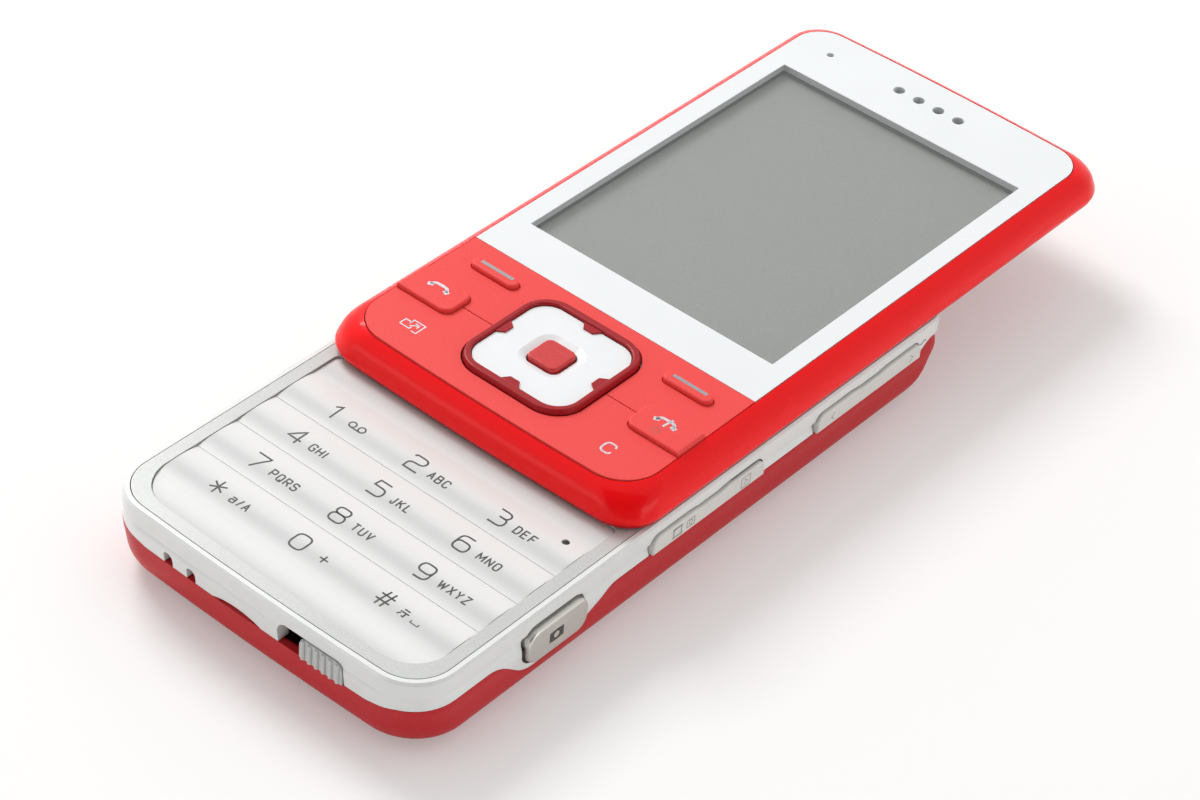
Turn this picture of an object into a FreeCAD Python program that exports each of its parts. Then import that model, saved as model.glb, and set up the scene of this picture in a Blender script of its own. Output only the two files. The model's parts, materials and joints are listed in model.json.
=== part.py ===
import FreeCAD, Part
import math
import os

# Slider phone, opened.  Millimetres.
# Origin: centre of the back face of the lower half.  +X right, +Y towards the
# earpiece end, +Z out of the display.  The upper half stands open by slide_travel.

# ---------------------------------------------------------------- overall sizes
phone_width = 49.0
phone_length = 97.0
phone_thickness = 16.0
slide_travel = 35.0
end_bulge = 0.5            # how far each end is crowned beyond its corners
half_width = phone_width / 2
half_length = phone_length / 2

# ---------------------------------------------------------------- clearances
slide_gap = 0.28           # between the two halves
seam = 0.07                # line between the frame and the back cover
plate_gap = 0.13           # round the front panel and key plates
key_gap = 0.13             # round each key on the front
side_key_gap = 0.18        # round the keys on the right side
press_gap = 0.3            # free travel under every key
fit_gap = 0.05             # between stacked inner parts
insert_gap = 0.03          # round windows and rings set into a hole
rail_gap = 0.05            # running clearance of the slide rails
bay_gap = 0.25             # round loose inner parts in their bays
board_gap = 0.15           # round what passes through the boards

# how far joined solids run into each other, cutters run past a face, and fine offsets
weld = 0.1
past = 1.0
sliver = 0.01
flat = 1e-4

# sections of the lofted outer forms
edge_steps = 6
side_steps = 3
under_steps = 3
bezel_steps = 5

# ---------------------------------------------------------------- slide rails
rail_floor = 0.4           # sheet thickness of the base plate
rail_inset = 9.2           # outer face of the base plate's webs from the phone's side
rail_web = 0.4
tongue_reach = 1.3
lip_thickness = 0.3
lip_reach = 1.15
channel_wall = 0.5
carriage_sheet = 0.45
carriage_length = 24.0
carriage_end_gap = 1.0
carriage_round = 1.0
carriage_window_half = 8.0
carriage_window_low = 19.0
carriage_window_inset = 9.3
carriage_window_round = 2.0
recess_side_gap = 0.5
recess_end = 1.2           # wall of the upper housing beyond the slide recess
recess_round = 1.2
base_overlap = 2.6         # base plate hidden inside the open upper half
base_top_margin = 1.6
base_window_inset = 6.8    # window centres from the webs
base_window_half = 4.5
base_window_middle = 6.0   # half of the bridge between the windows
base_window_end = 5.35
base_window_round = 1.5
base_lug_offset = 2.1
base_lug_radius = 1.6
base_lug_drop = 0.9        # lugs stand out of the base plate's end by this much
base_lug_sheet = 0.2
base_lug_arm = 0.2
base_lug_root = 1.0        # overlap of a lug with the web
screw_head_radius = 0.9
screw_head_height = 0.3
lug_screw_height = 0.05
carriage_screw_height = 0.18
screw_slot_half = 0.14
screw_slot_reach = 0.55    # share of the head's radius
screw_slot_depth = 0.5     # share of the head's height
base_screw_inset = 4.35
carriage_screw_inset = 4.3
carriage_screw_end = 16.3
spring_wire = 0.35         # diameter
spring_lift = 0.1
spring_coil_radius = 2.2
spring_leg = 12.0
spring_leg_slope = 0.35
spring_inset = 12.9        # coil centre from the base plate's far end
flex_width = 7.0
flex_sheet = 0.1
flex_length = 14.0
flex_fold_y = 20.0
flex_gap = 0.02

# ---------------------------------------------------------------- upper half
upper_corner = 5.2         # outer corners at the widest level, seen from the front
under_corner = 6.0         # and at the underside
bezel_round = 4.25         # the bezel's profile is an arc that starts at the plates' edge
under_run = 1.2            # how far the underside's edge pulls in
housing_floor = 0.35       # between the display board and the slide recess
housing_notch_y = -19.2    # small notch in the right edge of the underside
housing_notch_length = 2.0
housing_notch_height = 0.5
housing_notch_depth = 2.2
plate_border = 2.6         # bezel beside the front panel and key plates
plate_low_border = 2.2
plate_high_border = 2.8
plate_low_radius = 5.3
plate_high_radius = 4.3
plate_bulge = 0.45
panel_thickness = 0.95
panel_low = 23.0           # white panel above this height over the plates' low end, red below
ledge_width = 1.0
screen_border = 2.83
screen_low_border = 6.9
screen_high_border = 11.3
gasket_thickness = 0.65
gasket_rim = 1.2
lcd_thickness = 1.0
lcd_margin = 1.0
lcd_tail = 2.0             # the display module runs on below the window
board_thickness = 0.4
board_margin = 0.1
earpiece_hole = 0.8        # radius
earpiece_pitch = 3.2
earpiece_holes = 4
earpiece_inset = 4.85
earpiece_shift = 0.2
earpiece_half_length = 6.4
earpiece_half_width = 1.75
earpiece_round = 1.6
mesh_thickness = 0.12
mesh_end_margin = 0.4
mesh_side_margin = 0.5
mesh_round = 1.0
sensor_radius = 0.5
sensor_body_radius = 0.8
sensor_inset_x = 5.7
sensor_inset_y = 5.0

# front keys
key_rise = 0.6             # soft keys, call and end keys above the plate
soft_key_inset = 6.8
soft_key_drop = 4.0        # below the white panel's edge
soft_key_length = 7.1
soft_key_width = 1.8
soft_key_round = 0.3
call_key_width = 8.1
call_key_low_border = 8.9
call_key_height = 4.9
call_key_corner = 1.3
call_key_round = 0.25
call_plunger_x = 3.2
function_height = 11.6     # seam between the two red plates, over their low end
function_thickness = 0.6
function_boss = 1.2        # radius of its bosses over the switches
function_foot = 1.5        # half width of the foot it rocks on
function_foot_margin = 0.2
menu_inset = 6.6
menu_height = 4.55
key_skirt = 0.35           # retaining flange under each key
key_skirt_thickness = 0.25
skirt_side_gap = 0.1
nav_height = 12.1          # centre of the navigation key over the plates' low end
nav_half = 8.65
nav_radius = 4.2
nav_gap = 0.22
nav_rise = 0.65
nav_round = 0.2
nav_draft = 0.2            # how much the ring narrows to its crest
nav_lift = 0.15            # underside of the navigation key over the ledge
nav_open_half_x = 7.6
nav_open_half_y = 7.35
nav_open_radius = 2.9
nav_open_draft = 0.15
nav_tab_base = 2.7
nav_tab_tip = 1.4
nav_tab_depth = 0.9
nav_tab_root = 0.4
nav_tab_drop = 0.2         # tab tops under the ring's crest
nav_plunger_reach = 6.5
pad_rise = 0.25
pad_dish = 0.35
pad_dish_reach = 1.0
select_half = 2.25
select_radius = 0.9
select_gap = 0.25
select_rise = 0.5
select_round = 0.25
gimbal_outer = 3.9
gimbal_inner = 3.1
gimbal_thickness = 0.35
plunger_radius = 0.9
mat_thickness = 0.35
mat_border = 0.6
front_dome_radius = 1.7

# ---------------------------------------------------------------- lower half
lower_corner_bottom = 6.2
lower_corner_top = 3.0
corner_swell = 1.0         # bottom corners grow rounder half-way down the back
wall = 1.7                 # white frame
cover_wall = 1.0           # red back cover
side_inset_radius = 3.4    # rounded long edges of the back
bottom_end_round = 4.4
top_end_run = 8.4          # swept far end of the back
top_end_drop = 2.32        # where that sweep starts, below the deck
rim_width = 0.85           # white rim round the grey deck
rim_chamfer = 0.3
groove = 0.12
deck_thickness = 1.0
boundary_side = 4.12       # boundary of the white frame and red cover, below the deck, at the sides
boundary_bottom = 4.87     # at the bottom end
boundary_top = 2.52        # at the top corners
boundary_bottom_inset = 7.5
boundary_ramp = 4.0
boundary_rise_inset = 8.5
boundary_rise_run = 3.0
boundary_rise_step = 0.35
boundary_top_run = 2.0
boundary_end_depth = 4.0
camera_dip_depth = 7.72    # lowest point of the boundary under the camera key, below the deck
camera_dip_before = 9.1    # its ramps, from the middle of the key: outer and inner ends
camera_dip_flat_before = 4.85
camera_dip_flat_after = 2.9
camera_dip_after = 9.6
camera_dip_round = 4.5
camera_dip_lead = 2.5

# keypad
keypad_border = 2.75
keypad_low_border = 2.75
keypad_overlap = 1.7       # keypad hidden under the open upper half
keypad_radius = 5.0
keypad_top_radius = 0.9
keypad_gap = 0.12
row_first = 10.25          # height of the lowest row
row_pitch = 6.325
row_gap = 0.07
row_crown = 0.28
row_sink = 0.02            # crests under the deck's face
row_thickness = 0.75
row_count = 4
column_pitch = 12.9
plunger_first = 6.75
mic_inset_x = 2.8
mic_inset_y = 6.1
mic_radius = 0.5
mic_room = 0.3
dome_radius = 2.4
dome_height = 0.2
dome_sheet_thickness = 0.1
dome_sheet_margin = 0.8
dome_sheet_low = 1.6
dome_sheet_radius = 3.2
key_plunger_radius = 1.1
keypad_mat_border = 0.4
keypad_mat_radius = 0.8

# inner parts of the lower half
main_board_border = 3.9
main_board_low = 1.6
main_board_high = 0.8
main_board_low_radius = 4.0
main_board_high_radius = 3.0
main_board_thickness = 0.8
chassis_gap = 0.12
chassis_low_gap = 0.5
chassis_high_gap = 0.6
chassis_floor = 0.6
chassis_wall = 1.1
chassis_pocket_radius = 1.5
chassis_height = 1.9
chassis_post_radius = 1.4
chassis_post_length = 2.05
chassis_post_offset = 2.0  # post centres beside the battery
chassis_post_end = 8.0
shield_border = 11.5
shield_low_inset = 38.5
shield_high_inset = 12.5
shield_height = 1.2
shield_round = 0.8
battery_border = 7.5
battery_low_inset = 40.5
battery_high_inset = 10.5
battery_round = 0.9
bay_wall = 0.8
bay_round = 1.5
contact_block = 2.0
contact_height = 3.2
contact_blades = 4
contact_pitch = 2.6
blade_half_width = 0.5
blade_root = 0.2
blade_low = 2.4
blade_high = 1.6
speaker_inset_x = 12.0
speaker_inset_y = 11.0
speaker_half_x = 6.2
speaker_half_y = 4.2
speaker_height = 3.2
speaker_round = 3.0
speaker_post_inset = 2.0
speaker_post_round = 1.0
grille_slots = 3
grille_pitch = 2.0
grille_slot_length = 7.0
grille_slot_width = 0.8
camera_offset = 19.5       # lens beside the loudspeaker
camera_inset_y = 11.5
camera_side = 9.5
camera_barrel = 3.4        # radius
camera_aperture = 1.4      # radius
aperture_back = 0.84
aperture_depth = 0.8
barrel_height = 1.1
lens_ring_outer = 5.2
lens_ring_inner = 3.8
lens_ring_recess = 0.05
lens_ring_chamfer = 0.2
lens_seat_outer = 0.4
lens_seat_inner = 0.5
lens_window_thickness = 0.5
lens_window_recess = 0.3
flash_offset = 8.6
flash_radius = 1.7
flash_side = 3.8
flash_recess = 0.1
flash_flange = 0.25
flash_flange_height = 0.3
shutter_sheet = 0.3
shutter_lift = 0.3         # over the inside of the back cover
shutter_half_y = 3.6
shutter_reach = 3.2
shutter_tail = 2.9
shutter_hole_gap = 0.3
shutter_arm_half = 1.6
motor_inset_x = 7.0
motor_inset_y = 25.5
motor_radius = 2.0
motor_length = 9.0
motor_shaft_radius = 0.3
motor_shaft_length = 1.6
motor_weight_length = 2.6
motor_weight_gap = 0.9
motor_weight_inset = 0.3
card_x = 8.0
card_inset_y = 28.5
card_half_x = 7.5
card_half_y = 6.0
card_height = 1.3
card_wall = 0.7
card_floor = 0.35
card_roof = 0.2
card_window_reach = 3.0
card_window_half = 2.6
card_window_depth = 0.5
connector_y = 11.0
connector_half = 6.0
connector_rise = 0.31      # centre above the board's underside
connector_height = 2.0
connector_depth = 5.0
connector_recess = 0.5
connector_end_gap = 0.3
connector_side_gap = 0.15
connector_mouth_depth = 2.5
connector_mouth_end = 1.2
connector_mouth_half = 0.5
switch_depth = 1.1
switch_half = 1.6
switch_inset = 3.0
switch_low_gap = 0.3
switch_high_gap = 0.5
carrier_sheet = 0.25
carrier_high_gap = 0.9
camera_switch_low = 1.0
camera_switch_high = 1.4
side_room = 0.4            # free space round the side keys' switches
side_room_y = 0.8
side_room_z = 0.6

# side keys, on the right
side_key_rise = 0.5
camera_key_inset_y = 22.7
camera_key_drop = 4.37
camera_key_half_y = 5.05
camera_key_half_z = 2.35
camera_key_radius = 1.9
camera_key_gap = 0.35
camera_key_rise = 0.75
camera_key_round = 0.35
camera_key_tail = 0.6      # how far it reaches inside the wall
rocker_drop = 1.62
rocker_height = 2.35
rocker_radius = 1.2
rocker_round = 0.25
rocker_depth = 1.9
mode_rocker_y = 0.9
mode_rocker_half = 10.15
zoom_rocker_inset_y = 16.8
zoom_rocker_half = 10.35
rocker_waist = 0.22
rocker_waist_half = 3.5

# bottom end
lanyard_insets = (11.3, 15.0)
lanyard_width = 1.4
lanyard_height = 1.85
notch_inset = 22.2
notch_half = 3.95
notch_height = 0.8
notch_depth = 0.8
lever_slot_before = 2.9    # slot's low end from the lens centre
lever_slot_length = 9.9
lever_slot_drop = 1.77
lever_slot_radius = 1.2
lever_knob_width = 6.4
lever_rise = 0.35
lever_travel = 3.3
lever_ribs = 6
lever_rib_pitch = 1.04
lever_rib_radius = 0.3
lever_plate_inset = 1.9
lever_plate = 0.4
lever_low_gap = 0.1
lever_high_gap = 0.15
lever_upright_drop = 0.6
lever_room = 0.6
lever_room_depth = 3.4

# ---------------------------------------------------------------- worked-out heights
recess_depth = lip_thickness + rail_gap + rail_floor + rail_gap + carriage_sheet
display_stack = panel_thickness + gasket_thickness + lcd_thickness + board_thickness
plate_z = phone_thickness
ledge_z = plate_z - panel_thickness
gasket_z = ledge_z - gasket_thickness
board_z = plate_z - display_stack
under_z = board_z - housing_floor - recess_depth
deck_z = under_z - slide_gap
tongue_z = under_z + lip_thickness + rail_gap
tongue_top = tongue_z + rail_floor
recess_z = under_z + recess_depth
skirt_z = ledge_z - key_skirt_thickness - fit_gap
upper_mat_z = skirt_z - press_gap - mat_thickness
row_bottom = deck_z - row_thickness - row_crown
keypad_mat_z = row_bottom - press_gap - mat_thickness
dome_z = keypad_mat_z - dome_height - fit_gap
main_board_z = dome_z - dome_sheet_thickness - main_board_thickness
chassis_z = main_board_z - chassis_height
battery_z = cover_wall + bay_gap
boundary_side_z = deck_z - boundary_side
boundary_bottom_z = deck_z - boundary_bottom
boundary_top_z = deck_z - boundary_top
top_end_height = deck_z - top_end_drop
rocker_high = deck_z - rocker_drop
rocker_low = rocker_high - rocker_height
camera_key_z = deck_z - camera_key_drop
camera_dip_z = deck_z - camera_dip_depth
lever_slot_top = deck_z - lever_slot_drop
connector_z = main_board_z + connector_rise

# ---------------------------------------------------------------- worked-out places, upper half
plate_half_width = half_width - plate_border
plate_low = -half_length + plate_low_border
plate_high = half_length - plate_high_border
panel_split = plate_low + panel_low
screen_half_width = plate_half_width - screen_border
screen_low = panel_split + screen_low_border
screen_high = plate_high - screen_high_border
earpiece_y = plate_high - earpiece_inset
sensor_x = sensor_inset_x - plate_half_width
sensor_y = plate_high - sensor_inset_y
soft_key_x = plate_half_width - soft_key_inset
soft_key_y = panel_split - soft_key_drop
call_key_inner = plate_half_width - call_key_width
call_key_low = plate_low + call_key_low_border
call_key_high = call_key_low + call_key_height
function_split = plate_low + function_height
menu_x = plate_half_width - menu_inset
menu_y = plate_low + menu_height
nav_y = plate_low + nav_height

# ---------------------------------------------------------------- worked-out places, lower half
rail_half_width = half_width - rail_inset
base_low = slide_travel - half_length + base_overlap
base_high = half_length - base_top_margin
base_middle = (base_low + base_high) / 2
base_half_length = (base_high - base_low) / 2
base_lug_x = rail_half_width + base_lug_offset
base_lug_y = base_low - base_lug_drop + base_lug_radius
carriage_half_length = half_length - recess_end - carriage_end_gap
channel_in = rail_half_width + tongue_reach + rail_gap * 2
channel_out = channel_in + channel_wall
keypad_half_width = half_width - keypad_border
keypad_low = -half_length + keypad_low_border
keypad_high = slide_travel - half_length + keypad_overlap
mic_x = keypad_half_width - mic_inset_x
mic_y = keypad_high - mic_inset_y
key_columns = (-column_pitch, 0.0, column_pitch)
key_rows = [keypad_low + plunger_first + i * row_pitch for i in range(row_count)]
main_board_half = half_width - main_board_border
battery_half_width = half_width - battery_border
battery_low = -half_length + battery_low_inset
battery_high = half_length - battery_high_inset
shield_half_width = half_width - shield_border
shield_low = -half_length + shield_low_inset
shield_high = half_length - shield_high_inset
speaker_x = speaker_inset_x - half_width
speaker_y = -half_length + speaker_inset_y
camera_x = speaker_x + camera_offset
camera_y = -half_length + camera_inset_y
flash_x = camera_x - flash_offset
motor_x = motor_inset_x - half_width
motor_y = -half_length + motor_inset_y
card_y = -half_length + card_inset_y
camera_key_y = -half_length + camera_key_inset_y
camera_key_back = half_width - wall - camera_key_tail
zoom_rocker_y = half_length - zoom_rocker_inset_y
rocker_face = half_width + side_key_rise
switch_x = rocker_face - rocker_depth - press_gap
notch_x = notch_inset - half_width
lever_slot_low = camera_x - lever_slot_before
lever_slot_high = lever_slot_low + lever_slot_length
lever_back_y = -half_length + wall + lever_plate_inset
shutter_z = cover_wall + shutter_lift

V = FreeCAD.Vector
X_AXIS = V(1, 0, 0)
Y_AXIS = V(0, 1, 0)
Z_AXIS = V(0, 0, 1)
parts = {}


# ---------------------------------------------------------------- drawing helpers
def box(x0, x1, y0, y1, z0, z1):
    return Part.makeBox(x1 - x0, y1 - y0, z1 - z0, V(x0, y0, z0))


def arc(first, middle, last):
    return Part.Arc(first, middle, last).toShape()


def line(first, last):
    return Part.makeLine(first, last)


def outline(half, low, high, low_radius, high_radius, bulge, z):
    """Rounded rectangle whose two ends are shallow arcs, as a wire at height z."""
    def end(tip, radius, up):
        if bulge > 0:
            big = (half * half + bulge * bulge) / (2 * bulge)
            centre_y = tip - up * big
            rise = math.sqrt((big - radius) ** 2 - (half - radius) ** 2)
            corner = V(half - radius, centre_y + up * rise, z)
            reach = big / (big - radius)
            tangent = V(corner.x * reach, centre_y + (corner.y - centre_y) * reach, z)
        else:
            corner = V(half - radius, tip - up * radius, z)
            tangent = V(corner.x, tip, z)
        away = (V(half, corner.y, z) + tangent) / 2 - corner
        middle = corner + away * (radius / away.Length)
        return V(half, corner.y, z), middle, tangent

    side_low, mid_low, tan_low = end(low, low_radius, -1)
    side_high, mid_high, tan_high = end(high, high_radius, 1)

    def mirror(p):
        return V(-p.x, p.y, p.z)

    def crown(a, b, tip):
        if bulge > 0:
            return arc(a, V(0, tip, z), b)
        return line(a, b)

    return Part.Wire([
        line(side_low, side_high),
        arc(side_high, mid_high, tan_high),
        crown(tan_high, mirror(tan_high), high),
        arc(mirror(tan_high), mirror(mid_high), mirror(side_high)),
        line(mirror(side_high), mirror(side_low)),
        arc(mirror(side_low), mirror(mid_low), mirror(tan_low)),
        crown(mirror(tan_low), tan_low, low),
        arc(tan_low, mid_low, side_low),
    ])


def slab(wire, height):
    return Part.Face(wire).extrude(V(0, 0, height))


def rounded_box(x, y, half_x, half_y, radius, z0, z1):
    wire = outline(half_x, -half_y, half_y, radius, radius, 0, z0)
    return slab(wire, z1 - z0).translated(V(x, y, 0))


def tapered_box(x, y, low_x, low_y, low_radius, z0, high_x, high_y, high_radius, z1):
    low = outline(low_x, -low_y, low_y, low_radius, low_radius, 0, z0)
    high = outline(high_x, -high_y, high_y, high_radius, high_radius, 0, z1)
    return Part.makeLoft([low, high], True, True).translated(V(x, y, 0))


def cylinder(x, y, radius, z0, z1):
    return Part.makeCylinder(radius, z1 - z0, V(x, y, z0))


def rod(x, y, z, radius, length, axis):
    return Part.makeCylinder(radius, length, V(x, y, z), axis)


def tube(x, y, outer, inner, z0, z1):
    return cylinder(x, y, outer, z0, z1).cut(cylinder(x, y, inner, z0, z1))


def edges_at(shape, z):
    """Edges that lie wholly in the plane of height z."""
    return [e for e in shape.Edges if abs(e.BoundBox.ZMin - z) < flat and abs(e.BoundBox.ZMax - z) < flat]


def edges_at_x(shape, x):
    return [e for e in shape.Edges if abs(e.BoundBox.XMin - x) < flat and abs(e.BoundBox.XMax - x) < flat]


def side_profile(points, x0, x1):
    """Prism along X over a closed outline of (y, z) points."""
    wire = Part.makePolygon([V(x0, y, z) for y, z in points + points[:1]])
    return Part.Face(wire).extrude(V(x1 - x0, 0, 0))


def end_profile(points, y0, y1):
    """Prism along Y over a closed outline of (x, z) points."""
    wire = Part.makePolygon([V(x, y0, z) for x, z in points + points[:1]])
    return Part.Face(wire).extrude(V(0, y1 - y0, 0))


def join(shapes):
    shapes = list(shapes)
    return shapes[0].multiFuse(shapes[1:]).removeSplitter()


def cut_all(shape, cutters):
    for cutter in cutters:
        shape = shape.cut(cutter)
    return shape


def mirrored(shape):
    return shape.mirror(V(0, 0, 0), X_AXIS)


def on_upper(shape):
    """Moves a piece drawn round the upper half's own centre to the open position."""
    return shape.translated(V(0, slide_travel, 0))


# ================================================================ lower half
def inset_at(z, radius):
    """How far a quarter-round edge has pulled in at height z."""
    if z >= radius:
        return 0.0
    return radius - math.sqrt(radius * radius - (radius - z) ** 2)


def top_sweep_at(z, inset):
    """How far the swept top end has pulled in at height z: a quarter ellipse."""
    height = top_end_height - inset
    if z >= height:
        return 0.0
    rise = (height - z) / height
    return (top_end_run - inset) * (1 - math.sqrt(1 - rise * rise))


def lower_section(z, inset):
    """Outline of the lower half at height z, pulled in all round by inset."""
    level = max(z - inset, 0.0)
    side = inset_at(level, side_inset_radius - inset)
    low = inset_at(level, bottom_end_round - inset)
    high = top_sweep_at(level, inset)
    swell = corner_swell * math.sin(math.pi * min(level / boundary_bottom_z, 1.0))
    return outline(
        half_width - side - inset,
        -half_length + low + inset,
        half_length - high - inset,
        lower_corner_bottom - inset + swell,
        lower_corner_top - inset,
        end_bulge,
        z,
    )


def lower_envelope(inset, top):
    """Solid outer form of the lower half, or its offset, up to the height top."""
    reach = side_inset_radius - inset
    rise = top_end_height - side_inset_radius
    levels = [inset + reach * (1 - math.cos(math.pi / 2 * i / edge_steps)) for i in range(edge_steps + 1)]
    levels += [side_inset_radius + rise * (i + 1) / side_steps for i in range(side_steps)]
    back = Part.makeLoft([lower_section(z, inset) for z in levels], True, False)
    rest = slab(lower_section(top_end_height, inset), top - top_end_height)
    return back.fuse(rest)


def inside_of_frame(inset, z, height):
    """Slab that follows the rim of the lower half at a constant distance inside it."""
    return slab(outline(half_width - inset, -half_length + inset, half_length - inset,
                        lower_corner_bottom - inset, lower_corner_top - inset, end_bulge, z), height)


def cover_zone(lift):
    """Space below the boundary between the white frame and the red cover."""
    far_x = half_width + past
    far_y = half_length + past
    side = boundary_side_z + lift
    low = boundary_bottom_z + lift
    top = boundary_top_z + lift
    rise = half_length - boundary_rise_inset
    zone = side_profile([
        (-far_y, -past), (far_y, -past), (far_y, top), (half_length - boundary_top_run, top),
        (rise + boundary_rise_run, side + boundary_rise_step), (rise, side), (-far_y, side),
    ], -far_x, far_x)
    inner = half_width - boundary_bottom_inset
    outer = inner + boundary_ramp
    end_cut = end_profile([
        (-outer, side + past), (-outer, side), (-inner, low),
        (inner, low), (outer, side), (outer, side + past),
    ], -far_y, -half_length + wall + boundary_end_depth)
    dip_low = camera_key_y - camera_dip_before
    dip_high = camera_key_y + camera_dip_after
    first = dip_low - camera_dip_lead
    last = dip_high + camera_dip_lead
    dip = camera_dip_z + lift
    dip_cut = side_profile([
        (first, side + past), (first, side), (dip_low, side),
        (camera_key_y - camera_dip_flat_before, dip), (camera_key_y + camera_dip_flat_after, dip),
        (dip_high, side), (last, side), (last, side + past),
    ], half_width - side_inset_radius, far_x)
    bends = [e for e in edges_at(dip_cut, dip) + edges_at(dip_cut, side)
             if e.BoundBox.XLength > flat and first + past < e.BoundBox.YMin < last - past]
    return zone.cut(end_cut).cut(dip_cut.makeFillet(camera_dip_round, bends))


def side_opening(y, z, half_y, half_z, radius, depth):
    """Prism through the right wall with rounded corners in the (y, z) plane."""
    block = box(half_width - depth, half_width + past, y - half_y, y + half_y, z - half_z, z + half_z)
    along = [e for e in block.Edges if e.BoundBox.XLength > flat]
    return block.makeFillet(radius, along)


def rocker_prism(y, half, gap, x0, x1):
    """Long rocker outline: round upper corners, square lower edge, a slight waist."""
    low = rocker_low - gap
    high = rocker_high + gap
    h = half + gap
    r = rocker_radius + gap
    k = r * math.sqrt(0.5)
    waist = high - rocker_waist
    ramp = rocker_waist_half / 2

    def p(dy, z):
        return V(x0, y + dy, z)

    wire = Part.Wire([
        line(p(-h, low), p(h, low)),
        line(p(h, low), p(h, high - r)),
        arc(p(h, high - r), p(h - r + k, high - r + k), p(h - r, high)),
        line(p(h - r, high), p(rocker_waist_half, high)),
        line(p(rocker_waist_half, high), p(ramp, waist)),
        line(p(ramp, waist), p(-ramp, waist)),
        line(p(-ramp, waist), p(-rocker_waist_half, high)),
        line(p(-rocker_waist_half, high), p(-h + r, high)),
        arc(p(-h + r, high), p(-h + r - k, high - r + k), p(-h, high - r)),
        line(p(-h, high - r), p(-h, low)),
    ])
    return Part.Face(wire).extrude(V(x1 - x0, 0, 0))


def rocker_opening(y, half):
    return rocker_prism(y, half, side_key_gap, half_width - wall - past, half_width + past)


def lever_slot():
    """Slot of the lens-cover lever through the bottom end: rounded upper corners."""
    block = box(lever_slot_low, lever_slot_high, -half_length - past, -half_length + wall + past,
                boundary_bottom_z - past, lever_slot_top)
    upper = [e for e in edges_at(block, lever_slot_top) if e.BoundBox.YLength > flat]
    return block.makeFillet(lever_slot_radius, upper)


def lanyard_slot(x):
    half = lanyard_width / 2
    y0 = -half_length - past
    y1 = -half_length + wall + past
    crown_z = boundary_bottom_z + lanyard_height - half
    straight = box(x - half, x + half, y0, y1, boundary_bottom_z - past, crown_z)
    return straight.fuse(rod(x, y0, crown_z, half, y1 - y0, Y_AXIS))


def lower_frame():
    ledge = deck_z - deck_thickness
    body = lower_envelope(0, deck_z)
    body = body.makeChamfer(rim_chamfer, edges_at(body, deck_z))
    notch_round = (notch_half ** 2 + notch_height ** 2) / (2 * notch_height)
    cuts = [
        cover_zone(seam),
        inside_of_frame(rim_width, ledge, deck_thickness + past),
        inside_of_frame(wall, -past, ledge + past + deck_thickness / 2),
        side_opening(camera_key_y, camera_key_z, camera_key_half_y + camera_key_gap,
                     camera_key_half_z + camera_key_gap, camera_key_radius + camera_key_gap, wall + past),
        rocker_opening(mode_rocker_y, mode_rocker_half),
        rocker_opening(zoom_rocker_y, zoom_rocker_half),
        box(-half_width - past, -half_width + wall + past,
            connector_y - connector_half, connector_y + connector_half,
            connector_z - connector_height / 2, connector_z + connector_height / 2),
        lever_slot(),
        rod(notch_x, -half_length - past, boundary_bottom_z + notch_height - notch_round,
            notch_round, notch_depth + past, Y_AXIS),
    ]
    cuts += [lanyard_slot(inset - half_width) for inset in lanyard_insets]
    return cut_all(body, cuts)


def keypad_outline(gap, z):
    return outline(keypad_half_width + gap, keypad_low - gap, keypad_high + gap,
                   keypad_radius + gap, keypad_top_radius + gap, end_bulge, z)


def deck_plate():
    plate = inside_of_frame(rim_width + groove, deck_z - deck_thickness, deck_thickness)
    opening = keypad_outline(keypad_gap, deck_z - deck_thickness - past)
    return plate.cut(slab(opening, deck_thickness + past * 2))


def keypad_row(index, blank):
    """One full-width strip, crowned like a shallow wave and creased where it meets the next."""
    crest = deck_z - row_sink
    valley = crest - row_crown
    lowest = index == 0
    highest = index == row_count - 1
    crease_high = keypad_low + row_first + index * row_pitch
    crease_low = crease_high - row_pitch
    y0 = keypad_low - past if lowest else crease_low + row_gap / 2
    y1 = keypad_high + past if highest else crease_high - row_gap / 2
    crown_low = crease_low if lowest else y0
    crown_high = crease_high if highest else y1

    def p(y, z):
        return V(-half_width, y, z)

    edges = [arc(p(crown_low, valley), p((crown_low + crown_high) / 2, crest), p(crown_high, valley))]
    if highest:
        edges.append(line(p(crown_high, valley), p(y1, valley)))
    edges += [line(p(y1, valley), p(y1, row_bottom)), line(p(y1, row_bottom), p(y0, row_bottom))]
    if lowest:
        edges += [line(p(y0, row_bottom), p(y0, crest)),
                  arc(p(y0, crest), p((y0 + crown_low) / 2, valley + row_sink), p(crown_low, valley))]
    else:
        edges.append(line(p(y0, row_bottom), p(y0, valley)))
    return Part.Face(Part.Wire(edges)).extrude(V(phone_width, 0, 0)).common(blank)


def keypad_rows():
    """The four rows, from the one nearest the upper half down to the lowest."""
    blank = slab(keypad_outline(0, row_bottom - past), deck_z - row_bottom + past * 2)
    rows = [keypad_row(index, blank) for index in range(row_count)]
    rows[-1] = rows[-1].cut(cylinder(mic_x, mic_y, mic_radius, row_bottom - past, deck_z + past))
    rows.reverse()
    return rows


def grille_slot(index):
    y = speaker_y + (index - (grille_slots - 1) / 2) * grille_pitch
    half = grille_slot_width / 2
    return rounded_box(speaker_x, y, grille_slot_length / 2, half, half - sliver, -past, cover_wall + past)


def back_cover():
    shell = lower_envelope(0, deck_z).common(cover_zone(0))
    cuts = [
        lower_envelope(cover_wall, deck_z + past),
        cylinder(camera_x, camera_y, lens_ring_outer, -past, cover_wall + past),
        cylinder(flash_x, camera_y, flash_radius, -past, cover_wall + past),
        rocker_opening(zoom_rocker_y, zoom_rocker_half),
    ]
    return cut_all(shell, cuts + [grille_slot(index) for index in range(grille_slots)])


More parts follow.
